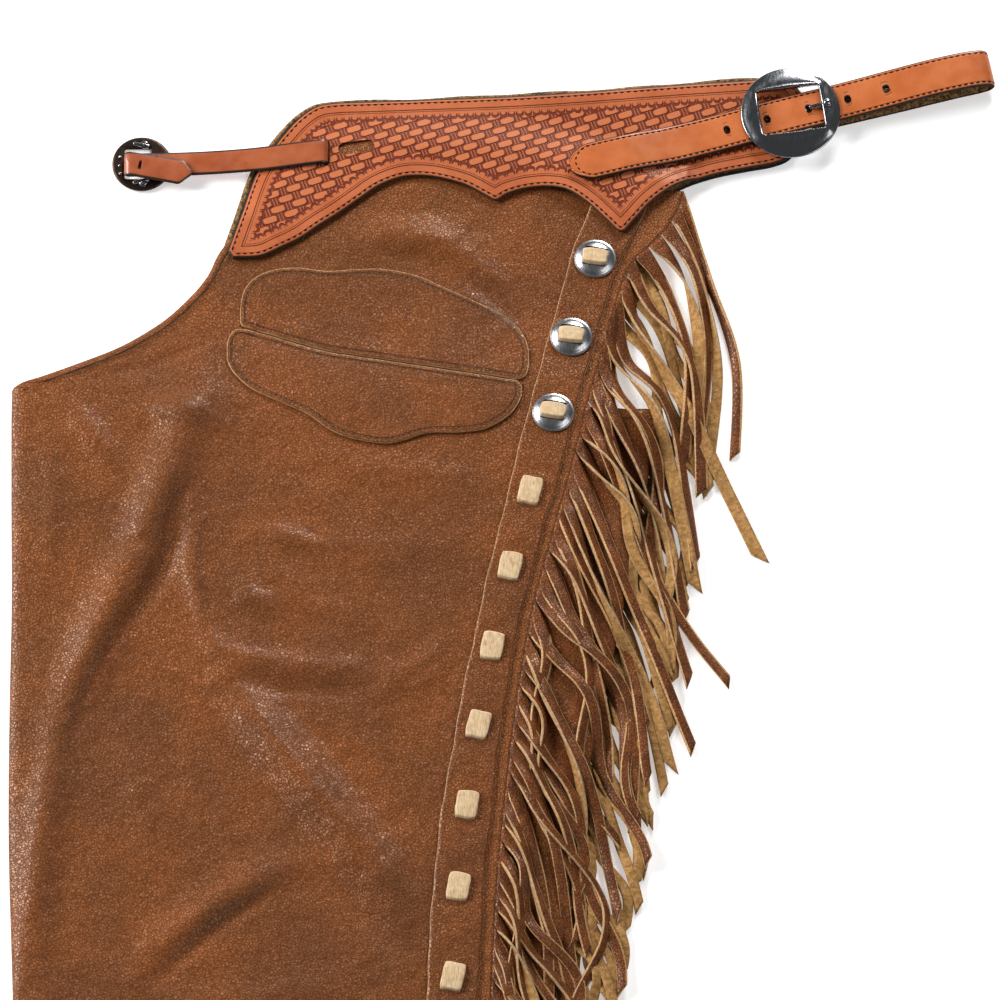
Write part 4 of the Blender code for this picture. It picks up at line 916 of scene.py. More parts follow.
def in_frame(bm: BMesh, name: str, measures: dict[str, Array]) -> Object:
    """Puts a mesh in millimetres into the scene, in the frame's metres.

    Args:
        bm: the mesh, which is used up.
        name: name of the new object.
        measures: a number for each vertex under each name.

    Returns:
        The object.
    """
    mesh = bpy.data.meshes.new(name)
    for vert in bm.verts:
        vert.co = Vector((np.array(vert.co) + SHIFT) * MM)
    bm.to_mesh(mesh)
    bm.free()
    for measure, values in measures.items():
        layer = mesh.attributes.new(measure, "FLOAT", "POINT")
        layer.data.foreach_set("value", np.asarray(values, np.float32))
    return in_scene(name, mesh)


def in_scene(name: str, data: ID) -> Object:
    """Puts a new object into the scene.

    Args:
        name: its name.
        data: what it shows.

    Returns:
        The object.
    """
    made = bpy.data.objects.new(name, data)
    bpy.context.scene.collection.objects.link(made)
    return made


@dataclass
class Piece:
    """A finished piece of the chaps.

    Attributes:
        slot: the slot of the record that it belongs to; not used.
        stock: its finishes, by material number.
        stands_for: the CAD nodes that it replaces.
        wall: thickness that is added under its surface.
        wall_offset: -1 for all below the surface, 0 for half.
    """

    name: str
    slot: str
    stock: Sequence[Stock]
    stands_for: Sequence[str] = ()
    wall: float = 0.0
    wall_offset: float = -1.0

    def finish(self, bm: BMesh, measures: Optional[dict[str, Array]] = None) -> Object:
        """Makes the object from a mesh in millimetres and hands it to the frame.

        Args:
            bm: the mesh.
            measures: a number for each vertex under each name.

        Returns:
            The object.
        """
        for face in bm.faces:
            face.smooth = True
        piece = in_frame(bm, self.name, measures or {})
        for stock in self.stock:
            piece.data.materials.append(stock.material())
        if self.wall:
            shell = piece.modifiers.new("wall", "SOLIDIFY")
            shell.thickness = self.wall * MM
            shell.offset = self.wall_offset
            shell.material_offset = min(1, len(self.stock) - 1)
            shell.material_offset_rim = min(2, len(self.stock) - 1)
        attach(piece, "root")
        if self.stands_for:
            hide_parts(*self.stands_for)
        LOG.info("%s: %d faces", self.name, len(piece.data.polygons))
        return piece

    def lay(self, rows: int, columns: int, place: Place, *measures: str) -> Object:
        """Makes the object from one grid.

        Args:
            rows: steps along v.
            columns: steps along u.
            place: gives the points and their measures.
            measures: what these are called.

        Returns:
            The object.
        """
        bm = new_bench_mesh()
        values = shape_grid(bm, rows, columns, place)
        return self.finish(bm, dict(zip(measures, values.T)))


def settle(piece: Object) -> None:
    """Applies all modifiers of a piece.

    Args:
        piece: the object, which keeps its place.
    """
    graph = bpy.context.evaluated_depsgraph_get()
    mesh = bpy.data.meshes.new_from_object(piece.evaluated_get(graph))
    piece.modifiers.clear()
    mesh.set_sharp_from_angle(angle=SHARP)
    piece.data = mesh


def punch(piece: Object, outline: Array, low: float, high: float, inset: float = 0) -> None:
    """Cuts an upright hole of any outline through a piece.

    Args:
        piece: what is cut.
        outline: x and y round the hole.
        low: where the tool starts.
        high: where it ends.
        inset: measure that the border finish finds at the hole.
    """
    bm = bmesh.new()
    ring = bmesh.ops.create_circle(bm, cap_ends=True, segments=len(outline), radius=1)["verts"]
    for vert, (x, y) in zip(ring, outline):
        vert.co = (x, y, low)
    body = bmesh.ops.extrude_face_region(bm, geom=bm.faces[:])["geom"]
    raised = [part for part in body if isinstance(part, BMVert)]
    bmesh.ops.translate(bm, verts=raised, vec=(0, 0, high - low))
    bmesh.ops.recalc_face_normals(bm, faces=bm.faces)
    tool = in_frame(bm, "punch", {"inset": np.full(len(bm.verts), inset)})
    cut = piece.modifiers.new("cut", "BOOLEAN")
    cut.operation = "DIFFERENCE"
    cut.solver = "EXACT"
    cut.object = tool
    settle(piece)
    bpy.data.objects.remove(tool)


def rounded_box(
    centre: Sequence[float], size: Sequence[float], radius: float, turn: float, count: int
) -> Array:
    """Outline of a turned rectangle with round corners.

    Args:
        centre: its middle.
        size: length and width.
        radius: of the corners.
        turn: in degrees.
        count: number of points.

    Returns:
        Rows of x and y, anticlockwise.
    """
    points = []
    for corner in range(4):
        side_x = (1, -1, -1, 1)[corner]
        side_y = (1, 1, -1, -1)[corner]
        for k in range(7):
            angle = math.pi / 2 * (corner + k / 6)
            x = side_x * (size[0] / 2 - radius) + radius * math.cos(angle)
            y = side_y * (size[1] / 2 - radius) + radius * math.sin(angle)
            points.append((x, y))
    closed = np.array(points + points[:1])
    lengths = polyline_lengths(closed)
    at = lengths[-1] * np.arange(count) / count
    even = rows_at(closed, lengths, at)
    spin = math.radians(turn)
    flat = even @ np.array(((math.cos(spin), math.sin(spin)), (-math.sin(spin), math.cos(spin))))
    return flat + np.array(centre[:2])


@dataclass
class Seam:
    """A row of stitches that stand a little out of the leather.

    Attributes:
        line: rows of x, y and z that the row follows.
        pitch: from one stitch to the next.
        thread: its thickness.
    """

    line: Array
    pitch: float
    length: float
    thread: float = 0.8

    def sew(self, bm: BMesh) -> None:
        """Adds the stitches to a mesh.

        Args:
            bm: the mesh.
        """
        lengths = polyline_lengths(self.line)
        for at in np.arange(self.pitch / 2, lengths[-1] - self.pitch / 2, self.pitch):
            ends = rows_at(self.line, lengths, at + np.array((-0.5, 0, 0.5)))
            heading = Vector(ends[2]) - Vector(ends[0])
            made = bmesh.ops.create_uvsphere(bm, u_segments=6, v_segments=4, radius=1)["verts"]
            size = Matrix.Diagonal((self.thread / 2, self.thread * 0.36, self.length / 2))
            turn = heading.to_track_quat("Z", "Y").to_matrix()
            bmesh.ops.transform(bm, matrix=(turn @ size).to_4x4(), verts=made)
            bmesh.ops.translate(bm, verts=made, vec=Vector(ends[1]))


# ---- the leg


@dataclass
class Leg:
    """The upper leg's two panels and the hidden layers under them."""

    # left x, left y and seam y of each section, from the hem to under the yoke
    sections: Rows = (
        (14, 0, 0), (13, 100, 100), (11, 200, 200), (8, 300, 300), (4.5, 400, 400), (2, 467, 465),
        (1, 520, 520), (1, 590, 588), (1.5, 657, 652), (0.5, 727, 716), (0, 797, 780), (2, 807.4, 791),
        (21, 814.8, 806), (64, 833, 830), (92, 851, 850), (111, 869, 868), (124, 886, 884), (133, 905, 898),
        (150, 925, 912), (172, 947, 925), (205, 968, 938),
    )
    # inward from the edge, below the top of the wall
    soft_fold: Rows = (
        (6.5, 7.8), (2.6, 7.2), (0.5, 5.6), (0, 3.9), (1.4, 2.1), (5, 0.8), (11, 0.2), (19, 0),
    )
    cut_edge: Rows = (
        (0.4, 1.4), (0.2, 1), (0.2, 0.6), (0.8, 0.2), (2.4, 0), (5.4, 0.1), (11, 0), (19, 0),
    )
    # inward from the edge and height, for the edges of the hidden layers
    left_layers: Rows = (
        (2, 0), (0.8, 0.5), (0.8, 1.1), (1.8, 1.4), (0.8, 1.7), (0.8, 2.3), (2.2, 2.7), (8.6, 2.9),
        (8.6, 6.6), (11.5, 8.2), (18, 8.9),
    )
    right_layers: Rows = (
        (8.8, 0), (8.4, 0.5), (8.4, 1.1), (9.2, 1.4), (8.4, 1.7), (8.4, 2.3), (9.2, 2.7), (8.6, 3.2),
        (8.6, 6.6), (11.5, 8.2), (18, 8.9),
    )
    # inward from a cut edge, share of the height
    flat_layers: Rows = (
        (2.6, 0), (1.6, 0.12), (1.6, 0.34), (2.6, 0.42), (1.6, 0.5), (1.6, 0.74), (1.8, 0.82), (2, 0.88),
        (2.4, 0.93), (3, 0.97), (7, 1),
    )
    front_rows: int = 330
    front_columns: int = 112
    fold_share: float = 0.13
    back_height: float = 790.0
    level_share: float = 0.62
    hem_inset: float = 5.4
    seam_gap: float = 3.0
    # rows in which the inner fold ends, and in which the sections bow upwards
    crotch_rows: tuple[float, float] = (10.6, 11.7)
    bowed_rows: tuple[float, float] = (12.0, 20.0)
    bow: float = 14.0

    def section(self, rows: Array) -> tuple[Array, Array, Array]:
        """Left and seam points of sections, at fractional rows."""
        at = smooth_curve(self.sections, rows)
        return at[..., 0], at[..., 1], at[..., 2]

    def even_rows(self, share: Array) -> Array:
        """Row numbers at even heights.

        Args:
            share: 0 at the hem, 1 at the top.

        Returns:
            Fractional row numbers.
        """
        fine = np.linspace(0, 20, 801)
        lengths = polyline_lengths(self.inner_edge(fine))
        return np.interp(share * lengths[-1], lengths, fine)

    def inner_edge(self, rows: Array) -> Array:
        """x and y of the inner edge at fractional rows."""
        return smooth_curve(self.sections, rows)[:, :2]

    def front_plan(self, u: Array, v: Array) -> tuple[Array, Array, Array, Array]:
        """Where the front panel's points lie.

        Args:
            u: across, from the inner fold.
            v: up, from the hem.

        Returns:
            x, y, how far each is dropped below the top, and how much of its edge is a fold.
        """
        row = self.even_rows(v)
        left_x, left_y, seam_y = self.section(row)
        folded = 1 - smoothstep(*self.crotch_rows, row)
        right_x = DRAPE.seam_x(2, seam_y) - self.seam_gap
        at = np.clip(u / self.fold_share, 0, 1) * (len(self.soft_fold) - 1)
        fold = smooth_curve(self.soft_fold, at)
        cut = smooth_curve(self.cut_edge, at)
        inward = cut[:, 0] + (fold[:, 0] - cut[:, 0]) * folded
        drop = cut[:, 1] + (fold[:, 1] - cut[:, 1]) * folded
        flat = np.clip((u - self.fold_share) / (1 - self.fold_share), 0, 1)
        inward = inward + (right_x - left_x - self.soft_fold[-1][0]) * flat
        share = inward / (right_x - left_x)
        bow = self.bow * smoothstep(*self.bowed_rows, row) * np.sin(np.pi * share)
        return left_x + inward, left_y + (seam_y - left_y) * share + bow, drop, folded

    def front(self) -> None:
        """The front panel, rolled round the inner fold, with its turned and stitched edge."""

        def place(u: Array, v: Array) -> Array:
            """Where the points lie."""
            x, y, drop, folded = self.front_plan(u, v)
            edge_x = self.section(self.even_rows(v))[0]
            away, _ = distance_to_line(x, y, self.inner_edge(np.linspace(10.9, 20, 80)))
            pressed = self.hem_inset + 0.8 + np.abs(x - edge_x - 5.8)
            inset = np.where(folded * (edge_x < 30) > 0.5, pressed, away)
            hem = smoothstep(0.8, 2.4, away) * (1 - smoothstep(self.hem_inset, self.hem_inset + 2.2, away))
            z = DRAPE.front_skin(x, y) + DRAPE.leg_wall - drop + hem * (1 - folded)
            return np.column_stack((x, y, z, beside_row(inset - self.hem_inset)))

        piece = Piece("front_panel", "leg_leather", GRAIN_OUT, ("leg_front",), DRAPE.leg_wall - 0.1)
        obj = piece.lay(self.front_rows, self.front_columns, place, "sewn")

    def back(self) -> None:
        """The back panel, from the seam round the outer fold, with its turned top edge."""

        def place(u: Array, v: Array) -> Array:
            """Where the points lie."""
            y = v * self.back_height
            left_x = DRAPE.seam_x(2, y) - 2.4
            right_x = DRAPE.seam_x(3, y)
            level = self.level_share
            flat = np.clip(u / level, 0, 1)
            fold = smooth_curve(self.soft_fold[:-1], 6 * (1 - np.clip((u - level) / (1 - level), 0, 1)))
            x = np.where(u < level, left_x + (right_x - 11 - left_x) * flat, right_x - fold[:, 0])
            drop = np.where(u < level, 0, fold[:, 1])
            hem = 0.35 * smoothstep(789.9, 787.5, y) * smoothstep(780, 782, y)
            z = DRAPE.back_skin(x, y) + DRAPE.leg_wall - drop + hem
            return np.column_stack((x, y, z, beside_row(783 - y)))

        piece = Piece("back_panel", "leg_leather", GRAIN_OUT, ("leg_back",), DRAPE.leg_wall - 0.1)
        obj = piece.lay(300, 34, place, "sewn")

    def layer_ring(self, row: float, along: Array) -> Array:
        """One section of the hidden layers.

        Args:
            row: fractional section number.
            along: places round the section, from 0 to 1.

        Returns:
            Points of the section.
        """
        left_x, left_y, seam_y = self.section(row)
        folded = 1 - smoothstep(*self.crotch_rows, row)
        below = row <= 11
        right_y = seam_y if below else max(seam_y, DRAPE.crotch_height + 1.6)
        right_x = DRAPE.seam_x(3, right_y) if below else DRAPE.seam_x(2, right_y) - self.seam_gap
        low = 0 if row < 16.4 else DRAPE.yoke_wall + GAP
        mouth = 3 * (1 - smoothstep(0.6, 1, left_y / 26))
        bow = self.bow * smoothstep(*self.bowed_rows, row)
        tops = (DRAPE.hidden_top(left_y), DRAPE.hidden_top(right_y))
        sides = []
        for layers, top, amount in zip((self.left_layers, self.right_layers), tops, (folded, below)):
            side = []
            for (inward, height), (flat_in, share) in zip(layers, self.flat_layers):
                flat = low + share * (top - low)
                height = min(height, top - mouth)
                side.append((flat_in + (inward - flat_in) * amount, flat + (height - flat) * amount))
            sides.append(side)
        ring = [(left_x + inward, left_y, z) for inward, z in sides[0]]
        for t in np.linspace(0.1, 0.9, 9):
            y = left_y + (right_y - left_y) * t + bow * math.sin(math.pi * t)
            ring.append((left_x + (right_x - left_x) * t, y, DRAPE.hidden_top(y) - mouth - 0.1))
        ring += [(right_x - inward, right_y, z) for inward, z in reversed(sides[1])]
        ring.append(((left_x + right_x) / 2, (left_y + right_y) / 2 + bow, low))
        ring.append(ring[0])
        at = along * (len(ring) - 1)
        return smooth_curve(ring, at) * 0.35 + 0.65 * rows_at(np.array(ring), np.arange(len(ring)), at)

    def hidden(self) -> None:
        """The lower leg and the upper leg's inner wall, layered at their edges."""
        rows = np.concatenate((np.linspace(0, 9.6, 60), np.linspace(9.7, 20, 90), (0.28, 10.98, 11.02)))
        rows = np.unique(rows)
        bm = new_bench_mesh()

        def place(u: Array, v: Array) -> Array:
            """Where the points lie."""
            points = np.zeros((len(u), 3))
            number = np.rint(v * (len(rows) - 1)).astype(int)
            for k, row in enumerate(rows):
                points[number == k] = self.layer_ring(float(row), u[number == k])
            return points

        shape_grid(bm, len(rows) - 1, 128, place)
        bmesh.ops.remove_doubles(bm, verts=bm.verts, dist=0.01)
        bmesh.ops.holes_fill(bm, edges=[e for e in bm.edges if e.is_boundary], sides=0)
        bmesh.ops.triangulate(bm, faces=[f for f in bm.faces if len(f.verts) > 4])
        bmesh.ops.recalc_face_normals(bm, faces=bm.faces)
        obj = Piece("hidden_layers", "leg_leather", (Stock.HIDE,), ("under_leg",)).finish(bm)

    def sew(self) -> None:
        """The stitches of the turned edges."""
        bm = bmesh.new()
        run = self.inner_edge(np.linspace(11.1, 17.6, 200))
        run = run - left_of(run) * self.hem_inset
        z = DRAPE.front_skin(*run.T) + DRAPE.leg_wall + 0.1
        Seam(np.column_stack((run, z)), 3.4, 2.5, 0.7).sew(bm)
        x = np.linspace(DRAPE.seam_x(2, 784) + 26, DRAPE.seam_x(3, 784) - 4, 30)
        for y in (783.6, 780.4):
            z = DRAPE.back_skin(x, np.full(30, y)) + DRAPE.leg_wall + 0.05
            Seam(np.column_stack((x, np.full(30, y), z)), 3.2, 2.3, 0.7).sew(bm)
        Piece("leg_stitches", "leg_leather", (Stock.BROWN_THREAD,)).finish(bm)

    def build(self) -> None:
        """Builds the leg."""
        self.hidden()
        self.front()
        self.back()
        self.sew()


@dataclass
class Pocket:
    """The thigh pocket: an upper and a lower patch with raw edges."""

    # x, y of the upper edge, y of the lower edge
    facing: Rows = (
        (145.6, 862, 853), (147, 872, 850), (150.5, 879.5, 848.6), (157, 885.6, 846.4), (168, 890, 842.6),
        (183, 891.2, 837.6), (201, 889, 832), (219, 890.2, 828.8), (236, 890.6, 826), (258, 886, 822.2),
        (274, 878.4, 819.4), (294, 868.4, 816), (312, 859.4, 812.9), (323, 849.6, 811), (328.4, 840, 813.6),
        (330.4, 832, 821),
    )
    patch: Rows = (
        (137.2, 836, 826), (139, 842.6, 820.6), (143.5, 847.4, 813.4), (154, 846, 803.4),
        (174, 839.4, 793.4), (189, 834.4, 786), (204, 830.2, 774.6), (219, 827.6, 768.2), (238, 824.4, 765),
        (250, 822.4, 767), (266, 819.6, 772.6), (286, 816.2, 773), (302, 813.6, 775.4), (316, 811, 783.6),
        (322.6, 809.8, 791.6), (325.8, 806, 799),
    )
    # stitches over the facing's lower edge, and the upper of two rows under the patch's top
    facing_row: Rows = (
        (150, 857), (174, 851), (203, 844), (237, 838), (265, 832), (292, 829), (324, 827),
    )
    patch_row: Rows = ((150, 839.6), (189, 827.6), (236, 818.6), (276, 811.6), (318, 804.4))
    row_inset: float = 3.2

    def top_of(self, x: Array, y: Array) -> Array:
        """Upper side of a patch on the front panel."""
        return DRAPE.front_skin(x, y) + DRAPE.leg_wall + GAP + DRAPE.pocket_wall

    def outline(self, table: Rows) -> Array:
        """Outline of a patch.

        Args:
            table: the patch.

        Returns:
            Rows of x and y, anticlockwise from its lower left.
        """
        at = smooth_curve(table, np.linspace(0, len(table) - 1, 80))
        lower = at[:, (0, 2)]
        upper = at[::-1, (0, 1)]
        return np.concatenate((lower, upper, lower[:1]))

    def cut_patch(self, name: str, node: str, table: Rows) -> None:
        """One patch.

        Args:
            name: name of the piece.
            node: the CAD node that it replaces.
            table: its outline.
        """

        def place(u: Array, v: Array) -> Array:
            """Where the points lie."""
            at = smooth_curve(table, u * (len(table) - 1))
            x, y = at[:, 0], at[:, 2] * (1 - v) + at[:, 1] * v
            away, _ = distance_to_line(x, y, self.outline(table))
            z = self.top_of(x, y) + 0.25 * smoothstep(0, 2, away) - 0.25
            return np.column_stack((x, y, z, np.maximum(2.6 - away, 0), beside_row(away - self.row_inset)))

        piece = Piece(name, "leg_leather", GRAIN_OUT, (node,), DRAPE.pocket_wall - 0.2)
        obj = piece.lay(44, 110, place, "raw", "sewn")

    def row(self, bm: BMesh, line: Rows, pitch: float = 3.2) -> None:
        """Sews one row along rows of x and y."""
        run = resample(smooth_curve(line, np.linspace(0, len(line) - 1, 60)), 2)
        Seam(np.column_stack((run, self.top_of(*run.T) + 0.02)), pitch, 2.3, 0.62).sew(bm)

    def inner_line(self, table: Rows) -> Array:
        """The outer edge of a patch moved inward to its stitches."""
        closed = self.outline(table)
        return closed + left_of(closed) * self.row_inset

    def build(self) -> None:
        """Builds both patches and their stitches."""
        self.cut_patch("pocket_upper", "pocket_facing", self.facing)
        self.cut_patch("pocket_lower", "pocket_patch", self.patch)
        bm = bmesh.new()
        self.row(bm, self.facing_row)
        for drop in (0, 2.6):
            self.row(bm, np.array(self.patch_row) - (0, drop), 3)
        self.row(bm, self.inner_line(self.facing)[84:158], 3.6)
        self.row(bm, self.inner_line(self.patch)[2:78], 3.6)
        Piece("pocket_stitches", "leg_leather", (Stock.BROWN_THREAD,)).finish(bm)


# ---- the belt


@dataclass
class Belt:
    """The tooled belt half and the lining of the other one."""

    # x and y of the top edge, x and y of the bottom edge, from the front tip to the back buckle
    stations: Rows = (
        (137.5, 903, 141, 898), (146, 930, 158, 899), (155, 959, 171, 905), (166, 978, 184, 912),
        (174, 989.5, 196, 921), (183, 1000, 209, 930), (194, 1008, 222, 940), (207, 1010.5, 234, 949),
        (225, 1011.2, 248, 955), (248, 1012, 261, 956.2), (266, 1012.8, 274, 954.5),
        (285, 1013.5, 290, 949.5), (303, 1014.3, 303, 942), (309.5, 1014.6, 309.5, 939),
        (317, 1015, 317, 943.5), (328, 1015.6, 329, 947.2), (342, 1016.5, 342, 948),
        (356, 1017.5, 355, 944.8), (369, 1018.5, 368, 935.5), (380, 1019.4, 379.5, 924),
        (389, 1020.2, 389.5, 915), (398, 1021, 398, 923), (408, 1021.8, 408, 935),
        (419, 1022.7, 419, 944.5), (433, 1023.8, 432, 952.5), (450, 1025, 450, 959),
        (468, 1026.3, 470, 963.5), (486, 1027.4, 488, 967.2), (498, 1026.4, 499, 973),
        (506, 1018, 506, 986),
    )
    stitch_inset: float = 2.6
    stitch_pitch: float = 4.3

    def edges(self, rows: Array) -> tuple[Array, Array]:
        """Points of the top and of the bottom edge at fractional stations."""
        at = smooth_curve(self.stations, rows)
        return at[:, 0:2], at[:, 2:4]

    def outline(self) -> Array:
        """The yoke's outline, anticlockwise from the front tip."""
        top, bottom = self.edges(np.linspace(0, len(self.stations) - 1, 320))
        return np.concatenate((bottom, top[::-1], bottom[:1]))

    def upper(self) -> None:
        """The tooled half, with its strap slot and oblong slot."""

        def place(u: Array, v: Array) -> Array:
            """Where the points lie."""
            top, bottom = self.edges(u * (len(self.stations) - 1))
            plan = bottom * (1 - v[:, None]) + top * v[:, None]
            x, y = plan[:, 0], plan[:, 1]
            inset, along = distance_to_line(x, y, self.outline())
            z = DRAPE.yoke_floor(x, y) + DRAPE.yoke_wall - 0.7 * (1 - smoothstep(0, 1.8, inset))
            return np.column_stack((x, y, z, inset, along))

        stock = (Stock.STAMPED, Stock.LINING, Stock.BLACK_EDGE)
        piece = Piece("belt_yoke", "tooled_leather", stock, ("yoke_upper",), DRAPE.yoke_wall - 0.1)
        obj = piece.lay(56, 290, place, "inset", "along")
        settle(obj)
        punch(obj, rounded_box((200.6, 973), (3.6, 19), 1.2, 0, 16), 1, 16)
        punch(obj, rounded_box((219.5, 977), (23, 8.6), 4.2, 8, 40), 1, 16)

    def lower(self) -> None:
        """The other half, lining side up, with painted shade beside the tooled one."""

        def place(u: Array, v: Array) -> Array:
            """Where the points lie."""
            top, bottom = self.edges(u * (len(self.stations) - 1))
            at_left = 1 - smoothstep(160, 225, top[:, 0])
            wander = 0.8 * np.sin(top[:, 0] / 23) + 0.7 * np.sin(top[:, 0] / 9 + 1)
            top[:, 1] += 2.8 * (1 - 0.5 * at_left) + 0.6 * wander * (1 - at_left)
            top[:, 0] -= 4.2 * at_left
            top[:, 1] -= 2.3 * smoothstep(470, 506, top[:, 0])
            low_left = 1 - smoothstep(140, 175, bottom[:, 0])
            low_lift = 3 * (1 - smoothstep(395, 425, bottom[:, 0]))
            bottom[:, 0] -= 4.2 * low_left
            bottom[:, 1] += low_lift
            plan = bottom * (1 - v[:, None]) + top * v[:, None]
            beyond, _ = distance_to_line(*plan.T, self.outline())
            # painted shade: share of near black on the lining within a few millimetres of the tooled half's
            # edge
            burnished = 1 - smoothstep(1, 2.6, beyond)
            return np.column_stack((plan, np.full(len(u), DRAPE.yoke_wall), burnished))

        stock = (Stock.LINING, Stock.LINING, Stock.BLACK_EDGE)
        piece = Piece("lower_belt_half", "suede_lining", stock, ("yoke_lower",), DRAPE.yoke_wall)
        obj = piece.lay(24, 200, place, "burnished")

        def lie(u: Array, v: Array) -> Array:
            """Where the points lie."""
            x = 207 + 25 * u
            y = 972 + 10 * v + 3.5 * u - 1.5
            return np.column_stack((x, y, DRAPE.yoke_floor(x, y) + 1.7 + 0.5 * u - 0.6 * v))

        Piece("slot_leather", "leg_leather", GRAIN_OUT, (), 1).lay(12, 24, lie)

    def sew(self) -> None:
        """The row of stitches round the tooled half."""
        bm = bmesh.new()
        outline = resample(self.outline(), 1)
        run = outline + left_of(outline) * self.stitch_inset
        away, _ = distance_to_line(*run.T, self.outline())
        run = run[away > self.stitch_inset - 0.35]
        z = DRAPE.yoke_floor(*run.T) + DRAPE.yoke_wall - 0.05
        Seam(np.column_stack((run, z)), self.stitch_pitch, 2.7, 1.3).sew(bm)
        Piece("belt_stitches", "tooled_leather", (Stock.BLACK_THREAD,)).finish(bm)

    def build(self) -> None:
        """Builds both halves."""
        self.lower()
        self.upper()
        self.sew()


@dataclass
class Strap:
    """A flat strap along a centre line.

    Attributes:
        run: x, y, z, turn in degrees and width of each station.
        flat: its cut size in metres; not used.
        lining: finish of its inner face.
    """

    name: str
    node: str
    run: Rows
    wall: float
    stock: Stock
    flat: tuple[float, float]
    lining: Stock = Stock.LINING
    around: int = 28
    step: float = 1.6
    stitch_share: float = 0.82

    def centre(self) -> tuple[Array, Array, Array, Array, Array]:
        """Stations at even steps.

        Returns:
            Points, sideways vectors, upright vectors, widths, and lengths from the tip.
        """
        rows = []
        for x, y, z, turn, width in self.run:
            angle = math.radians(turn)
            side = np.array((-math.sin(angle), math.cos(angle)))
            if z is None:
                steps = np.linspace(-0.5, 0.5, 5) * width
                highest = DRAPE.yoke_floor(x + side[0] * steps, y + side[1] * steps).max()
                z = float(highest) + DRAPE.yoke_wall + 1.5 * GAP + self.wall / 2
            rows.append((x, y, z, turn, width))
        fine = smooth_curve(rows, np.linspace(0, len(rows) - 1, 40 * len(rows)))
        lengths = polyline_lengths(fine[:, :3])
        at = np.linspace(0, lengths[-1], int(lengths[-1] / self.step))
        even = rows_at(fine, lengths, at)
        angle = np.radians(even[:, 3])
        sides = np.stack((-np.sin(angle), np.cos(angle), np.zeros(len(at))), axis=1)
        normals = np.cross(np.gradient(even[:, :3], axis=0), sides)
        normals /= np.linalg.norm(normals, axis=1, keepdims=True)
        return even[:, :3], sides, normals, even[:, 4], at

    def skin(self, share: Array, out: Array, half_wall: float) -> Array:
        """Points on the strap's surface.

        Args:
            share: along it, 0 at the tip.
            out: sideways, -1 to 1.
            half_wall: above the middle, as a share of half the wall.

        Returns:
            The points.
        """
        *tables, widths, lengths = self.centre()
        at = share * lengths[-1]
        points, sides, normals = (rows_at(table, lengths, at) for table in tables)
        width = np.interp(at, lengths, widths)
        return points + sides * (out * width / 2)[:, None] + normals * (half_wall * self.wall / 2)

    def build(self, holes: Rows = (), stitches: Optional[Stock] = None) -> Object:
        """Builds the strap from a round section that is drawn along it.

        Args:
            holes: x and y of its round holes.
            stitches: thread along both edges.

        Returns:
            The strap.
        """
        points, sides, normals, widths, _ = self.centre()
        turn = 2 * np.pi * np.arange(self.around) / self.around
        wide = np.sign(np.cos(turn)) * np.abs(np.cos(turn)) ** 0.34
        tall = np.sign(np.sin(turn)) * np.abs(np.sin(turn)) ** 0.5
        bm = new_bench_mesh()
        inset: list[float] = []
        ring = bmesh.ops.create_circle(bm, segments=self.around, radius=1)["verts"]
        edges = edges_of(ring)
        first = ring
        for number in range(len(points)):
            if number:
                edges, ring = draw_on(bm, edges)
            half = widths[number] / 2
            section = points[number] + np.outer(wide * half, sides[number])
            section = section + np.outer(tall * self.wall / 2, normals[number])
            for vert, point in zip(ring, section):
                vert.co = point
            inset += list(half - np.abs(wide * half))
        bmesh.ops.contextual_create(bm, geom=first)
        bmesh.ops.contextual_create(bm, geom=ring)
        bmesh.ops.recalc_face_normals(bm, faces=bm.faces)
        bm.verts.index_update()
        for face in bm.faces:
            numbers = [v.index % self.around for v in face.verts]
            face.material_index = int(all(tall[k] <= 0 for k in numbers) and len(numbers) == 4)
            if len(numbers) > 4 or all(abs(wide[k]) > 0.96 for k in numbers):
                face.material_index = 2
        measures = {"inset": np.array(inset)}
        stock = (self.stock, self.lining, Stock.BLACK_EDGE)
        obj = Piece(self.name, "tooled_leather", stock, (self.node,)).finish(bm, measures)
        for x, y in holes:
            circle = rounded_box((x, y), (4.4, 4.4), 2.19, 0, 24)
            punch(obj, circle, 4.6, 17, 6)
        if stitches:
            self.sew(stitches)
        return obj

    def sew(self, thread: Stock) -> None:
        """A row of stitches along both edges and round the tip, where the strap is narrower.

        Args:
            thread: what it is sewn with.
        """
        *_, widths, lengths = self.centre()
        inside = self.stitch_share
        share = np.linspace(0.04, 0.97, 400)
        turn = np.linspace(-0.5 * np.pi, 0.5 * np.pi, 60)[1:-1]
        tip = share[0] - 0.031 * np.cos(turn)
        reach = np.interp(tip * lengths[-1], lengths, widths) / widths.max()
        edge = np.full(len(share), inside)
        out = np.concatenate((-edge, inside * np.sin(turn) / reach, edge))
        share = np.concatenate((share[::-1], tip, share))
        bm = bmesh.new()
        Seam(self.skin(share, np.clip(out, -inside, inside), 0.93), 4, 2.6, 1.15).sew(bm)
        Piece(f"{self.name}_stitches", "tooled_leather", (thread,)).finish(bm)


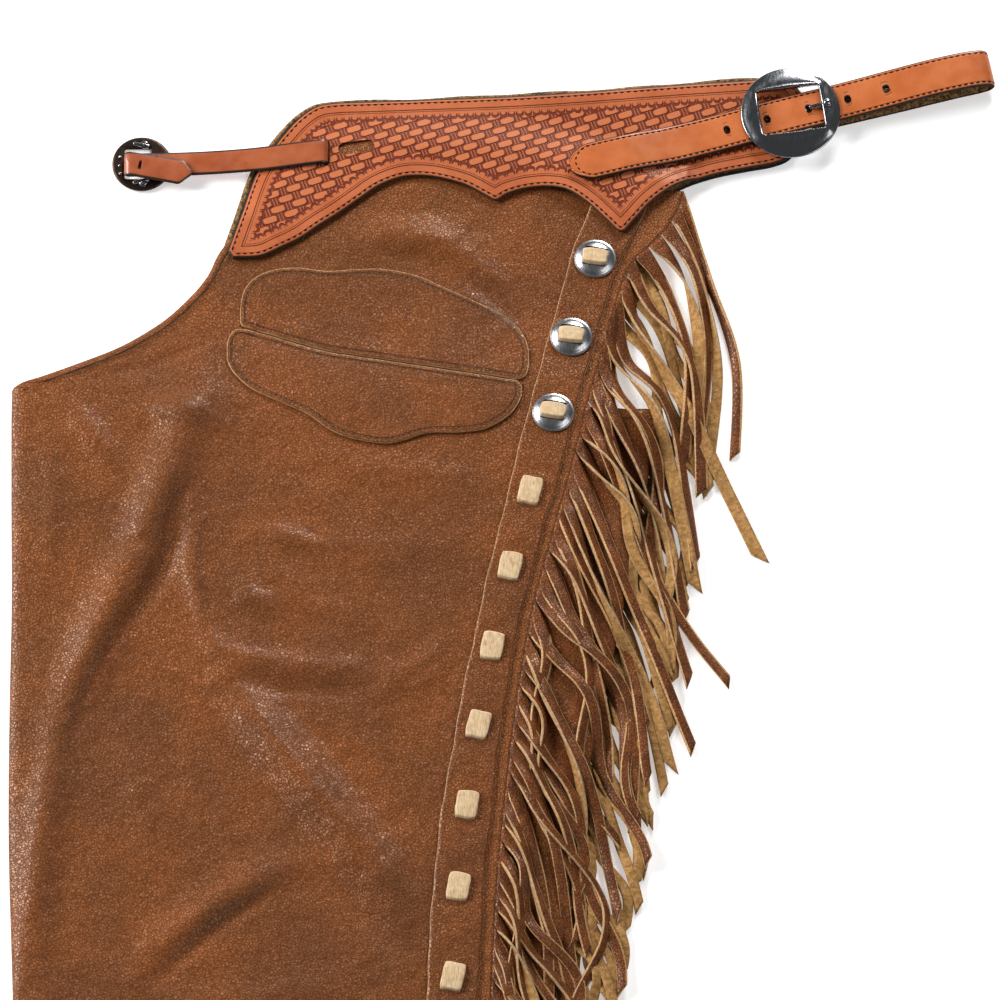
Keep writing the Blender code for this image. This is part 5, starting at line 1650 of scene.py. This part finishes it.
BILLET_RUN: Rows = (
    (357.5, 960, None, 15.5, 9), (361, 961, None, 15.5, 17), (368, 963, None, 15.5, 24.5),
    (374, 964.7, None, 15.5, 25.6), (397, 971, None, 15.8, 25.6), (421, 977.9, None, 16.2, 25.6),
    (445, 985.2, None, 16.6, 25.6), (470, 992.6, 8.6, 16.6, 25.6), (499, 1001, 8.6, 15.6, 25.6),
    (531, 1009.6, 8.7, 15.2, 25.6), (560, 1017.3, 10.6, 14.6, 25.6), (586.5, 1024.4, 12.2, 14, 25.6),
    (606, 1029.2, 12.6, 13, 25.6), (618, 1031.8, 12.2, 12, 25.6), (624.5, 1033, 10.6, 11.2, 25.6),
    (627.3, 1033.5, 7.3, 11, 25.6), (624.8, 1033, 4, 11.2, 25.6), (618, 1031.6, 2.3, 12, 25.6),
    (606, 1028.8, 2, 13, 25.6), (588, 1024, 2, 14, 25.6), (566, 1018, 2, 14.6, 25.6),
    (540, 1011.2, 2, 14.6, 25.6), (510.5, 1003.6, 2, 14.6, 25.6),
)
BILLET_HOLES: Rows = (
    (458, 989), (484, 996.6), (510.5, 1004.2), (535.8, 1010.8), (560.6, 1017.4),
)
FRONT_RUN: Rows = (
    (200.6, 973, 8.6, 0, 16.8), (200.4, 973, 10.6, 0, 16.8), (198.2, 972.8, 12.3, 0, 16.8),
    (190, 972, 11.9, 3, 16.8), (176, 970.6, 10.6, 5, 16.8), (160, 969.2, 8.6, 4, 16.6),
    (142, 968.2, 6.9, 2, 16.4), (120, 967.4, 5.4, 1, 16.4), (98, 966.8, 4.8, 0, 16.4),
    (76, 966.4, 4.8, 0, 16.4), (72.6, 966.3, 5.3, 0, 16.4), (71.4, 966.2, 6.5, 0, 16.4),
    (72.6, 966.1, 7.7, 0, 16.4), (76, 965.4, 8.3, -6, 16.6), (90, 962.8, 8.4, -9.5, 17),
    (103, 960.3, 8.4, -10, 17.2), (107, 959.6, 8.4, -10, 16.9), (110.6, 959.1, 8.4, -10, 9.4),
    (113.6, 958.7, 8.4, -10, 2.6),
)


@dataclass
class Buckle:
    """A round plate with a window.

    Attributes:
        centre: x, y and height of its sole.
        profile: share of the way from the outer rim to the window and height, outside in.
        radius: of the rim.
        window: centre x, centre y, length and width of the window.
        turn: of the window, in degrees.
    """

    name: str
    node: str
    slot: str
    stock: Stock
    centre: tuple[float, float, float]
    profile: Rows
    radius: float
    window: tuple[float, float, float, float]
    turn: float
    corner: float = 1.4
    around: int = 96

    def add_plate(self, bm: BMesh) -> None:
        """Draws the plate's section round from its rim to its window and back under it.

        Args:
            bm: the mesh that gets it.
        """
        x, y, sole = self.centre
        inner = rounded_box(self.window[:2], self.window[2:], self.corner, self.turn, self.around)
        away = inner - np.array((x, y))
        angle = np.arctan2(away[:, 1], away[:, 0])
        outer = np.array((x, y)) + self.radius * np.column_stack((np.cos(angle), np.sin(angle)))
        ring = bmesh.ops.create_circle(bm, segments=self.around, radius=1)["verts"]
        edges = edges_of(ring)
        first = edges
        for number, (share, height) in enumerate(self.profile):
            if number:
                edges, ring = draw_on(bm, edges)
            for vert, (px, py) in zip(ring, outer * (1 - share) + inner * share):
                vert.co = (px, py, sole + height)
        bmesh.ops.bridge_loops(bm, edges=first + edges)

    def build(self, fittings: Callable[[BMesh], None]) -> None:
        """Builds the buckle.

        Args:
            fittings: adds the parts that stand on the plate.
        """
        bm = new_bench_mesh()
        self.add_plate(bm)
        plate = len(bm.faces)
        fittings(bm)
        bm.faces.index_update()
        for face in bm.faces:
            face.material_index = int(face.index >= plate)
        bmesh.ops.recalc_face_normals(bm, faces=bm.faces)
        Piece(self.name, self.slot, (self.stock, Stock.PLATE), (self.node,)).finish(bm)


def add_bar(bm: BMesh, start: Sequence[float], end: Sequence[float], radii: tuple[float, float]) -> None:
    """Adds a round bar with a domed end.

    Args:
        bm: the mesh.
        start: where it begins.
        end: where it ends.
        radii: at both ends.
    """
    low, high = Vector(start), Vector(end)
    length = (high - low).length
    made = bmesh.ops.create_cone(
        bm, cap_ends=True, segments=20, radius1=radii[0], radius2=radii[1], depth=length
    )["verts"]
    turn = (high - low).to_track_quat("Z", "Y").to_matrix()
    rims = [e for e in edges_of(made) if e.calc_length() < radii[0]]
    bmesh.ops.rotate(bm, verts=made, matrix=turn)
    bmesh.ops.translate(bm, verts=made, vec=(low + high) / 2)
    bmesh.ops.bevel(
        bm, geom=rims, offset=min(radii) * 0.4, segments=2, profile=0.5, affect="EDGES", material=-1
    )


def cart_fittings(bm: BMesh) -> None:
    """The fixed stud of the back buckle and the ring at its root."""
    add_bar(bm, (520.5, 1006.3, 12.9), (510.9, 1004.4, 11.6), (1.6, 1.25))
    add_bar(bm, (524.6, 1007.2, 12.9), (520.3, 1006.2, 13.1), (3.1, 2.8))


def disc_fittings(bm: BMesh) -> None:
    """The bright studs and the bar of the small buckle.

    Args:
        bm: the mesh of the buckle.
    """
    for x, y, radius in ((67.6, 972.8, 1.3), (67.2, 966.6, 1.1), (67.8, 961, 1.2)):
        made = bmesh.ops.create_uvsphere(bm, u_segments=14, v_segments=8, radius=radius)["verts"]
        bmesh.ops.translate(bm, verts=made, vec=(x, y, 3.2))
    add_bar(bm, (86.4, 980.2, 3.4), (76, 982.4, 3.4), (1.6, 1.3))
    add_bar(bm, (86.4, 956.6, 3.4), (76, 954.4, 3.4), (1.6, 1.3))
    for x, y in ((83.4, 981.6), (82.6, 954.6)):
        add_bar(bm, (x, y, 2.6), (x, y, 4.6), (3.3, 2.5))
        add_bar(bm, (x, y, 4.4), (x, y, 5.4), (1.4, 0.9))


# ---- the strip, conchos and lace


@dataclass
class LacedSeam:
    """The strip over the outside seam, its conchos and its lace."""

    conchos: Rows = ((373, 896.5), (357.6, 840), (346, 785.6))
    concho_profile: Rows = (
        (12.9, 0), (13.4, 0.3), (13.35, 0.8), (12.7, 1.05), (12.2, 1.1), (11.4, 1.9), (9.6, 2.9), (7, 3.6),
        (4.4, 4), (2, 4.18), (0, 4.2),
    )
    lace_heights: Sequence[float] = (731, 678, 622, 567, 511.5, 455, 393, 335, 276, 217, 158, 99, 40)
    lace_size: tuple[float, float] = (13.6, 20.6)
    strip_length: float = 945.0
    slot_turn: float = -9.0

    def strip(self) -> None:
        """The strip."""

        def place(u: Array, v: Array) -> Array:
            """Where the points lie."""
            height = v * self.strip_length
            left = DRAPE.seam_x(1, height)
            right = DRAPE.seam_x(2, height)
            wander = 0.35 * np.sin(height / 13) + 0.25 * np.sin(height / 5.3 + 1)
            x = left + (right - left) * u + wander * (2 * u - 1)
            y = height - 6 * u * smoothstep(0, 40, height)
            inset = np.minimum(u, 1 - u) * (right - left) + 0.3 * (u > 0.5)
            dent = sum(np.exp(-(((height - k) / 14) ** 2)) for k in self.lace_heights)
            puff = 0.9 * np.clip(1 - dent, 0, 1) * (1 - (2 * u - 1) ** 2) * (height < 745)
            ease = 0.042 * np.sin(height / 9 + 2 * u) * np.exp(-((u - 0.5) ** 2) / 0.2)
            pulled = 0.2 * np.minimum(dent, 1) * (1 - np.abs(2 * u - 1))
            z = DRAPE.strip_floor(y) + DRAPE.strip_wall + ease - pulled + puff
            return np.column_stack((x, y, z, np.maximum(2.5 - inset, 0)))

        # the rim takes the edge with painted light
        stock = (Stock.HIDE, Stock.FLESH, Stock.PALE_EDGE)
        piece = Piece("laced_strip", "leg_leather", stock, ("seam_strip",), DRAPE.strip_wall)
        obj = piece.lay(400, 16, place, "raw")

    def top_at(self, y: float, reach: float) -> float:
        """Level on which something of a given half height lies on the strip."""
        levels = DRAPE.strip_floor(np.array((y - reach, y, y + reach)))
        return levels.max() + DRAPE.strip_wall + GAP

    def concho(self, number: int, x: float, y: float) -> None:
        """A domed slotted disc and the lace through its slots.

        Args:
            number: from the top.
            x: of its middle.
            y: of its middle.
        """
        bm = new_bench_mesh()
        rise = self.top_at(y, 13.4)
        start = [bm.verts.new((radius, 0, height)) for radius, height in self.concho_profile]
        edges = [bm.edges.new(pair) for pair in zip(start, start[1:])]
        bmesh.ops.spin(
            bm, geom=start + edges, angle=math.tau, steps=56, axis=(0, 0, 1), cent=(0, 0, 0), use_merge=True
        )
        bmesh.ops.remove_doubles(bm, verts=bm.verts, dist=0.01)
        bmesh.ops.holes_fill(bm, edges=[e for e in bm.edges if e.is_boundary], sides=0)
        bmesh.ops.recalc_face_normals(bm, faces=bm.faces)
        bmesh.ops.translate(bm, verts=bm.verts, vec=(x, y, rise))
        stock = (Stock.SATIN,)
        disc = Piece(f"concho_disc_{number}", "bright_steel", stock, (f"concho_{number}",)).finish(bm)
        for side in (-1, 1):
            at = turned_plan(x, y + 0.6, math.radians(self.slot_turn), 0, side * 5.4)
            punch(disc, rounded_box(at, (16.4, 2.4), 0.6, self.slot_turn, 12), rise - 1, rise + 8)
        self.tie(number, x, y, rise)

    def tie(self, number: int, x: float, y: float, rise: float) -> None:
        """The lace over a concho, which dives into both slots.

        Args:
            number: of the concho.
            x: of its middle.
            y: of its middle.
            rise: height of its sole.
        """
        spin = math.radians(self.slot_turn + 3 * noise(number, 40))

        def place(u: Array, v: Array) -> Array:
            """Where the points lie."""
            across, side = np.abs(2 * u - 1), 2 * v - 1
            a = (u - 0.5) * 16 * (1.02 - 0.16 * side**4 + 0.03 * np.sin(9 * v + number))
            b = side * 6 * (1 - 0.12 * across**4)
            dive = 2.6 * smoothstep(0.72, 1, np.abs(side))
            z = rise + 4.25 + 1.35 - dive - 0.55 * across**4
            return np.column_stack((*turned_plan(x, y + 0.6, spin, a, b), z))

        piece = Piece(f"concho_tie_{number}", "rawhide", (Stock.TIE,), (f"concho_lace_{number}",), 1.25)
        piece.lay(22, 18, place)

    def stitch(self, number: int, y: float) -> None:
        """One lace stitch over the strip.

        Args:
            number: from the top.
            y: its height.
        """
        x = (DRAPE.seam_x(1, y) + DRAPE.seam_x(2, y)) / 2
        rise = self.top_at(y, self.lace_size[1] / 2)
        spin = math.radians(-11 + 3 * noise(number, 41))
        length, height = self.lace_size

        def place(u: Array, v: Array) -> Array:
            """Where the points lie."""
            side = 2 * v - 1
            bulge = 1.04 - 0.13 * side**4 + 0.015 * np.sin(11 * v + number)
            a = (u - 0.5) * length * bulge
            b = side * height / 2 * (1 + 0.02 * np.sin(6 * u + 2 * number) - 0.07 * np.abs(2 * u - 1) ** 4)
            arch = 0.35 * (1 - side**2) - 2.2 * smoothstep(0.88, 1, np.abs(side))
            edge = 0.4 * (np.abs(u - 0.5) * 2) ** 5
            return np.column_stack((*turned_plan(x, y, spin, a, b), rise + 1.9 + arch - edge))

        piece = Piece(f"lace_stitch_{number:02d}", "rawhide", (Stock.LACE,), (f"lace_{number:02d}",), 1.6)
        piece.lay(28, 18, place)

    def build(self) -> None:
        """Builds the strip and all that is on it."""
        self.strip()
        for number, (x, y) in enumerate(self.conchos, 1):
            self.concho(number, x, y)
        for number, y in enumerate(self.lace_heights, 1):
            self.stitch(number, y)


# ---- the fringe


@dataclass
class Pile:
    """How high everything reaches beside the seam, on a grid of one millimetre."""

    west: float = 230.0
    south: float = -190.0
    size: tuple[int, int] = (430, 1200)
    height: Array = field(init=False)
    bare: Array = field(init=False)

    def __post_init__(self) -> None:
        """Starts with the table and the leg on it."""
        x, y = np.meshgrid(
            self.west + np.arange(self.size[0]), self.south + np.arange(self.size[1]), indexing="ij"
        )
        edge = np.where(y < 790, DRAPE.seam_x(3, y), DRAPE.seam_x(2, y) - 3)
        top = DRAPE.hidden_top(y) + GAP + DRAPE.leg_wall + 0.4
        inside = smoothstep(0, 7, edge - x) * 0.55 + 0.45 * (x < edge)
        self.bare = np.where(y > -1, top * inside, 0)
        self.height = self.bare.copy()

    def cells(self, x: Array, y: Array) -> tuple[Array, Array]:
        """Grid cells of points.

        Args:
            x: across.
            y: up.

        Returns:
            Both indices of each cell.
        """
        i = np.clip(np.rint(x - self.west).astype(int), 0, self.size[0] - 1)
        j = np.clip(np.rint(y - self.south).astype(int), 0, self.size[1] - 1)
        return i, j

    def at(self, x: Array, y: Array) -> Array:
        """Height at points."""
        return self.height[self.cells(x, y)]

    def rest(self, x: Array, y: Array) -> Array:
        """Height before any strand was laid."""
        return self.bare[self.cells(x, y)]

    def cover(self, x: Array, y: Array, z: Array) -> None:
        """Raises the pile to what is laid on it."""
        np.maximum.at(self.height, self.cells(x, y), z)


@dataclass
class Strand:
    """One strand of fringe.

    Attributes:
        line: plan points from its root to its tip.
        root: plan points of the two ends of its root, upper one first.
        level: height of its root.
        turns: share of its length and bank angle in degrees.
        cut_back: how far one side of its tip is cut back.
        worn: how much less of each cut side shows.
        joined: how far from its root its cut sides stay closed.
    """

    line: Array
    root: tuple[Array, Array]
    level: float
    width: float
    turns: Rows
    cut_back: float
    tip_width: float = 6.4
    wall: float = 1.5
    worn: tuple[float, float] = (0.0, 0.0)
    joined: float = 0.0
    steps: int = 58
    across: int = 5
    slope: float = 0.32
    most: float = 13.0

    def lay(self, bm: BMesh, pile: Pile) -> Array:
        """Lays the strand over the pile and adds its surface.

        Args:
            bm: the mesh of the fringe.
            pile: what already lies there.

        Returns:
            How near each new point is to a cut side.
        """
        lengths = polyline_lengths(self.line)
        total = lengths[-1]
        at = np.linspace(0, total, self.steps + 1)
        plan = rows_at(self.line, lengths, at)
        side = left_of(plan)
        share = at / total
        table = np.asarray(self.turns, float)
        bank = smoothed(np.radians(np.interp(share, table[:, 0], table[:, 1])), 9)
        width = self.width + (self.tip_width - self.width) * smoothstep(0, 0.3, share)
        out = np.linspace(-1, 1, 9)
        offsets = out[None, :] * width[:, None] / 2
        flat, rise = offsets * np.cos(bank)[:, None], offsets * np.sin(bank)[:, None]
        x = plan[:, 0:1] + side[:, 0:1] * flat
        y = plan[:, 1:2] + side[:, 1:2] * flat
        need = (pile.at(x, y) - rise).max(axis=1) + self.wall / 2 + 0.12
        rest = pile.rest(plan[:, 0], plan[:, 1])
        need = rest + self.most * np.tanh((need - rest) / self.most)
        need = np.where(at < 10, self.level, need)
        height = (need[None, :] - self.slope * np.abs(at[:, None] - at[None, :])).max(axis=1)
        settled = smoothstep(3, 26, at)
        height = self.level + (height - self.level) * settled
        clear = self.wall / 2 + np.abs(rise).max(axis=1) + 0.15 + 0.65 * np.clip(-np.cos(bank), 0, 1)
        height = np.maximum(smoothed(np.maximum(height, clear), 7), clear)
        upper, lower = (np.append(p, self.level) for p in self.root)

        def place(u: Array, v: Array) -> Array:
            """Where the points lie."""
            t = 1 - 2 * u
            s = v * total - self.cut_back * (1 + t) / 2 * smoothstep(0.72, 1, v)
            middle = rows_at(np.column_stack((plan, height)), at, s)
            sides = rows_at(side, at, s)
            angle = np.interp(s, at, bank)
            half = np.interp(s, at, width) / 2
            cup = 0.6 * (1 - t * t) * smoothstep(8, 40, s)
            reach = t * half * np.cos(angle) - cup * np.sin(angle)
            lift = t * half * np.sin(angle) + cup * np.cos(angle)
            points = middle + np.column_stack((sides * reach[:, None], lift))
            start = (upper + lower) / 2 + np.outer(t, (upper - lower) / 2)
            start[:, :2] += np.outer(s, (side[0, 1], -side[0, 0]))
            blend = smoothstep(0, 15, s)[:, None]
            shown = smoothstep(self.joined, self.joined + 7, s)
            near = np.maximum(3 - (1 - np.abs(t)) * half - np.where(t > 0, *self.worn), 0) * shown
            return np.column_stack((start * (1 - blend) + points * blend, near))

        pile.cover(x, y, height[:, None] + rise + self.wall / 2)
        return shape_grid(bm, self.steps, self.across, place)[:, 0]


@dataclass
class Fringe:
    """Both legs' fringe: root strips cut into strands that fall over the fold."""

    pitch: float = 12.0
    root_width: float = 9.0
    backing_inside: float = 12.0
    length: float = 190.0
    cut_back: float = 9.0
    floor_level: float = 0.95
    top_edge: Rows = (
        (430, 946), (427, 934), (419, 919), (408, 907), (399, 899), (393, 889),
    )
    stop: float = 46.0
    # number from the top, x and y of three points on its way, width
    loose: Rows = (
        (0, 445, 887, 463, 826, 462, 758, 6), (1, 441, 889, 451, 822, 446, 760, 6),
        (2, 437, 887, 445, 835, 440, 774, 8), (3, 430, 883, 440, 830, 434, 747, 9.4),
        (4, 420, 874, 433, 825, 429, 753, 9), (5, 408, 865, 435, 821, 441, 731, 8),
        (6, 402, 847, 434, 787, 480, 684, 9), (7, 392, 830, 421, 788, 437, 678, 8),
        (8, 385, 830, 414, 778, 437, 663, 8), (9, 384, 811, 409, 757, 431, 640, 9),
        (10, 382, 793, 404, 733, 416, 656, 9), (12, 386, 761, 409, 684, 434, 597, 9),
        (14, 392, 722, 419, 657, 460, 599, 8), (17, 385, 684, 411, 617, 436, 551, 9),
        (19, 376, 656, 404, 600, 422, 537, 9),
    )
    # number from the top, then pairs of share of the length and bank angle
    turned: Sequence[tuple[int, Rows]] = (
        (0, ((0, 0), (0.2, 20), (0.4, 62), (0.6, 30), (1, 10))),
        (2, ((0, 0), (0.25, -30), (0.6, -48), (1, -20))),
        (4, ((0, 0), (0.3, -46), (0.7, -30), (1, -10))),
        (5, ((0, 0), (0.2, -40), (0.45, -64), (0.75, -28), (1, 0))),
        (6, ((0, 0), (0.1, -50), (0.22, -92), (0.36, -150), (0.5, -180), (1, -180))),
        (7, ((0, 0), (0.3, -40), (0.6, -56), (1, -24))),
        (9, ((0, 0), (0.2, -44), (0.5, -70), (0.8, -50), (1, -20))),
        (10, ((0, 0), (0.3, -30), (0.7, -120), (1, -180))),
        (12, ((0, 0), (0.2, -60), (0.4, -96), (0.6, -60), (1, -30))),
        (14, ((0, 0), (0.4, -34), (0.7, -20), (1, -10))),
        (15, ((0, 0), (0.2, -90), (0.4, -170), (1, -180))),
        (19, ((0, 0), (0.3, -80), (0.5, -160), (1, -180))),
    )
    pile: Pile = field(default_factory=Pile)

    def falling(self, root: Array, angles: tuple[float, float], length: float, number: int) -> Array:
        """Plan points of a strand that leaves its root and falls.

        Args:
            root: where it starts.
            angles: below level, at the root and at the tip.
            length: of the strand.
            number: gives it its own waves.

        Returns:
            Rows of x and y.
        """
        steps = 40
        t = (np.arange(steps) + 0.5) / steps
        angle = np.radians(angles[0] + (angles[1] - angles[0]) * t**0.6)
        turns = 1.5 + 0.4 * noise(number, 52)
        wave = 30 * noise(number, 51) * np.sin(2 * np.pi * (t * turns) + 3 * noise(number, 53))
        angle = angle + np.radians(wave) * smoothstep(0.02, 0.25, t)
        x = root[0] + np.concatenate(((0,), np.cumsum(np.cos(angle)))) * length / steps
        y = root[1] - np.concatenate(((0,), np.cumsum(np.sin(angle)))) * length / steps
        return np.column_stack((x, y))

    def root_points(self, line: Array) -> tuple[Array, Array]:
        """Both ends of each root along a line.

        Args:
            line: the edge up to which the leather is cut.

        Returns:
            The upper and the lower ends, a little wider than a strand.
        """
        step, widen = 0.5, 2
        fine = resample(line, step)
        wide = int(self.root_width / step)
        first = np.arange(0, len(fine) - wide, int(self.pitch / step))
        return fine[np.maximum(first - widen, 0)], fine[np.minimum(first + wide + widen, len(fine) - 1)]

    def banks(self, number: int, channel: int, most: float) -> Rows:
        """Bank angles of a strand that isn't turned by hand; one in five turns over.

        Args:
            number: of the strand.
            channel: gives the stretch its own angles.
            most: largest bank angle.

        Returns:
            Rows of share of the length and bank angle.
        """
        lean = -most * (0.55 + 0.45 * noise(number, channel))
        other = most * noise(number, channel + 1)
        if noise(number, channel + 2) > 0.62 and most > 40:
            turned_at = 0.45 + 0.25 * noise(number, channel + 3)
            over = min(turned_at + 0.2, 1)
            return (0, 0), (turned_at * 0.5, -60), (turned_at, -120), (over, -180), (1.01, -180)
        return (0, 0), (0.22, lean), (0.55, lean * 0.6 + other * 0.4), (1, other * 0.5)

    def backing(self, bm: BMesh, line: Array, inner: Array, level: Callable[[Array], Array]) -> Array:
        """The uncut root strip.

        Args:
            bm: the mesh of the fringe.
            line: its outer edge.
            inner: its inner edge.
            level: height at y.

        Returns:
            Nothing for each new point, because its edge isn't lightened.
        """
        outer = resample(line, 2)
        lengths = polyline_lengths(inner)
        inside = rows_at(inner, lengths, np.linspace(0, lengths[-1], len(outer)))

        def place(u: Array, v: Array) -> Array:
            """Where the points lie."""
            row = (1 - v) * (len(outer) - 1)
            out, far = (rows_at(edge, np.arange(len(outer)), row) for edge in (outer, inside))
            plan = far + (out - far) * u[:, None]
            return np.column_stack((plan, level(plan[:, 1]), np.zeros(len(u))))

        return shape_grid(bm, len(outer) - 1, 10, place)[:, 0]

    def upper(self) -> None:
        """The upper leg's fringe, over the back panel and the fold."""
        edge = DRAPE.beside_seam(2, 8, np.arange(880.0, self.stop, -8))
        line = np.concatenate((self.top_edge, edge))
        inner = DRAPE.beside_seam(2, -self.backing_inside, resample(line, 8)[:, 1])
        half = DRAPE.fringe_wall / 2
        bm = new_bench_mesh()
        insets = [self.backing(bm, line, inner, lambda y: DRAPE.seam_floor(y) + half)]
        loose = {int(row[0]): row[1:] for row in self.loose}
        turned = dict(self.turned)
        for number, (high, low) in enumerate(zip(*self.root_points(line))):
            root = (high + low) / 2
            if number in loose:
                x1, y1, x2, y2, x3, y3, width = loose[number]
                points = smooth_curve(((*root,), (x1, y1), (x2, y2), (x3, y3)), np.linspace(0, 3, 40))
            else:
                start = 60 + 10 * noise(number, 1)
                end = 83 + 7 * noise(number // 3, 2) + 9 * noise(number, 3)
                points = self.falling(root, (start, end), self.length * (1 + 0.12 * noise(number, 4)), number)
                width = self.root_width
            turns = turned.get(number) or self.banks(number, 60, 80)
            level = DRAPE.seam_floor(root[1]) + half
            cut_back = self.cut_back * (1 + 0.4 * noise(number, 5))
            strand = Strand(points, (high, low), level, width, turns, cut_back)
            strand.worn = (0.15 + 0.55 * noise(number, 8), 0.15 + 0.55 * noise(number, 9))
            strand.joined = max(0, 8 + 14 * noise(number, 7))
            strand.tip_width = 8.2 if 3 <= number <= 12 else 6.6
            insets.append(strand.lay(bm, self.pile))
        stock = (Stock.STRAND, Stock.FLESH, Stock.RAW_EDGE)
        piece = Piece("fringe_roots", "fringe_leather", stock, ("fringe_upper",), 1.5, 0)
        uncut = np.concatenate([np.full(len(k), float(n == 0)) for n, k in enumerate(insets)])
        obj = piece.finish(bm, {"raw": np.concatenate(insets), "uncut": uncut})

    def floor_stretch(
        self, name: str, node: str, line: Array, inward: float, angles: tuple[float, float], length: float,
        seed: int, flat: tuple[float, float], area: float,
    ) -> None:
        """A stretch of the lower leg's fringe, flesh side up on the table.

        Args:
            name: name of the piece.
            node: the CAD node that it replaces.
            line: edge up to which it is cut.
            inward: width of its root strip.
            angles: below level, at root and tip.
            length: of its strands.
            seed: gives the stretch its own strands.
            flat: cut size in metres; not used.
            area: of the cut; not used.
        """
        bm = new_bench_mesh()
        insets = [self.backing(bm, line, line - (inward, 0), lambda y: self.floor_level + 0 * y)]
        for number, (high, low) in enumerate(zip(*self.root_points(line))):
            start = angles[0] + 4 * noise(number, seed)
            end = angles[1] + 5 * noise(number // 3, seed + 1) + 3 * noise(number, seed + 2)
            reach = length * (1 + 0.12 * noise(number, seed + 3))
            points = self.falling((high + low) / 2, (start, end), reach, number + 100 * seed)
            cut_back = self.cut_back * (1 + 0.4 * noise(number, seed + 4))
            turns = self.banks(number, seed, 30)
            strand = Strand(points, (high, low), self.floor_level, self.root_width, turns, cut_back, steps=36)
            insets.append(strand.lay(bm, self.pile))
        stock = (Stock.FLESH, Stock.STRAND, Stock.RAW_EDGE)
        piece = Piece(name, "fringe_leather", stock, (node,), 1.3, 0)
        obj = piece.finish(bm, {"raw": np.concatenate(insets)})

    def build(self) -> None:
        """Builds the lower leg's fringe, then the upper leg's over it."""
        high = DRAPE.beside_seam(2, 6, np.arange(912.0, 846, -6))
        low = DRAPE.beside_seam(3, -0.8, np.arange(782.0, 46, -8))
        stretch = self.floor_stretch
        stretch("lower_fringe_top", "fringe_lower_top", high, 10.2, (50, 78), 146, 11, (0.15, 0.07), 0.0075)
        stretch("lower_fringe", "fringe_lower", low, 6, (64, 84), 105, 23, (0.115, 0.75), 0.055)
        self.upper()


# ---- the studio


@dataclass
class Studio:
    """Pale floor, soft lights and the camera."""

    look_at: tuple[float, float, float] = (312, 731, 0)
    distance: float = 12.0
    elevation: float = 65.0
    frame_width: float = 0.638
    sensor: float = 36.0

    def floor(self) -> None:
        """The floor, which isn't part of the chaps."""
        bench = Bench("studio_floor")
        tone = bench.blend(bench.grain(400, 2), (0.90, 0.90, 0.90), (0.93, 0.93, 0.93))
        material = bench.dress(tone, 0.9, Emission_Color=(1, 1, 1), Emission_Strength=0.42)
        mesh = bpy.data.meshes.new("floor")
        bm = bmesh.new()
        bmesh.ops.create_grid(bm, x_segments=4, y_segments=4, size=6)
        bm.to_mesh(mesh)
        bm.free()
        mesh.materials.append(material)
        in_scene("floor", mesh)

    def lamp(self, name: str, at: Sequence[float], size: float, watts: float) -> None:
        """A square soft light that faces the chaps.

        Args:
            name: of the light.
            at: its place in metres.
            size: of its side.
            watts: its power.
        """
        light = bpy.data.lights.new(name, "AREA")
        light.size = size
        light.energy = watts
        lamp = in_scene(name, light)
        lamp.location = at
        lamp.rotation_euler = (Vector((0, 0.25, 0)) - Vector(at)).to_track_quat("-Z", "Y").to_euler()

    def camera(self) -> None:
        """The camera, on the foot side and far back."""
        centre = Vector((np.array(self.look_at) + SHIFT) * MM)
        up = math.radians(self.elevation)
        lens = bpy.data.cameras.new("camera")
        lens.sensor_width = self.sensor
        lens.lens = self.sensor * self.distance / self.frame_width
        lens.clip_end = 100
        camera = in_scene("camera", lens)
        camera.location = centre + Vector((0, -math.cos(up), math.sin(up))) * self.distance
        camera.rotation_euler = (math.pi / 2 - up, 0, 0)
        bpy.context.scene.camera = camera

    def build(self) -> None:
        """Sets the studio up."""
        self.floor()
        self.lamp("key", (-2.8, 1.3, 1.6), 1.8, 168)
        self.lamp("window", (0.7, 3.1, 1.6), 0.9, 74)
        self.lamp("fill", (2.3, -0.7, 2.6), 2, 32)
        world = bpy.data.worlds.new("studio")
        world.use_nodes = True
        world.node_tree.nodes["Background"].inputs["Color"].default_value = (1, 1, 1, 1)
        world.node_tree.nodes["Background"].inputs["Strength"].default_value = 0.1
        bpy.context.scene.world = world
        bpy.context.scene.view_settings.view_transform = "Standard"
        self.camera()


def main() -> None:
    """Builds the chaps and the studio."""
    logging.basicConfig(level=logging.INFO, format="%(name)s %(message)s")
    Leg().build()
    Pocket().build()
    Belt().build()
    billet = Strap("belt_billet", "billet", BILLET_RUN, 3.2, Stock.BILLET, (0.0256, 0.41))
    billet.build(BILLET_HOLES, Stock.BLACK_THREAD)
    front = Strap("front_belt_strap", "front_strap", FRONT_RUN, 2.2, Stock.STRAP, (0.017, 0.18), Stock.STRAP)
    punch(front.build(), rounded_box((80.6, 964.4), (1.7, 4.6), 0.8, -6, 16), 7, 12, 6)
    cart_profile = (
        (0.04, 0), (0, 0.3), (0, 0.8), (0.03, 1.15), (0.06, 1.2), (0.2, 1.9), (0.4, 2.7), (0.6, 3.25),
        (0.78, 3.5), (0.86, 3.45), (0.9, 3.75), (0.95, 3.85), (1, 3.3), (1, 0.3), (0.94, 0),
    )
    cart = Buckle(
        "back_cart_buckle", "cart_buckle", "bright_steel", Stock.PLATE, (499, 1000.7, 10.6), cart_profile, 32,
        (499.3, 1002, 40.5, 31.6), 8.5,
    )
    cart.build(cart_fittings)
    disc_profile = (
        (0.1, 0.9), (0, 1.5), (0, 2.6), (0.06, 3), (0.2, 3.1), (0.85, 3.1), (1, 2.8), (1, 1.4), (0.9, 1.2),
    )
    disc = Buckle(
        "front_disc_buckle", "front_buckle", "brown_steel", Stock.BROWNED, (81.6, 968.3, 0), disc_profile, 19,
        (78.8, 968.2, 16.4, 21.6), 0,
    )
    disc.build(disc_fittings)
    LacedSeam().build()
    Fringe().build()
    Studio().build()


if __name__ == "__main__":
    main()
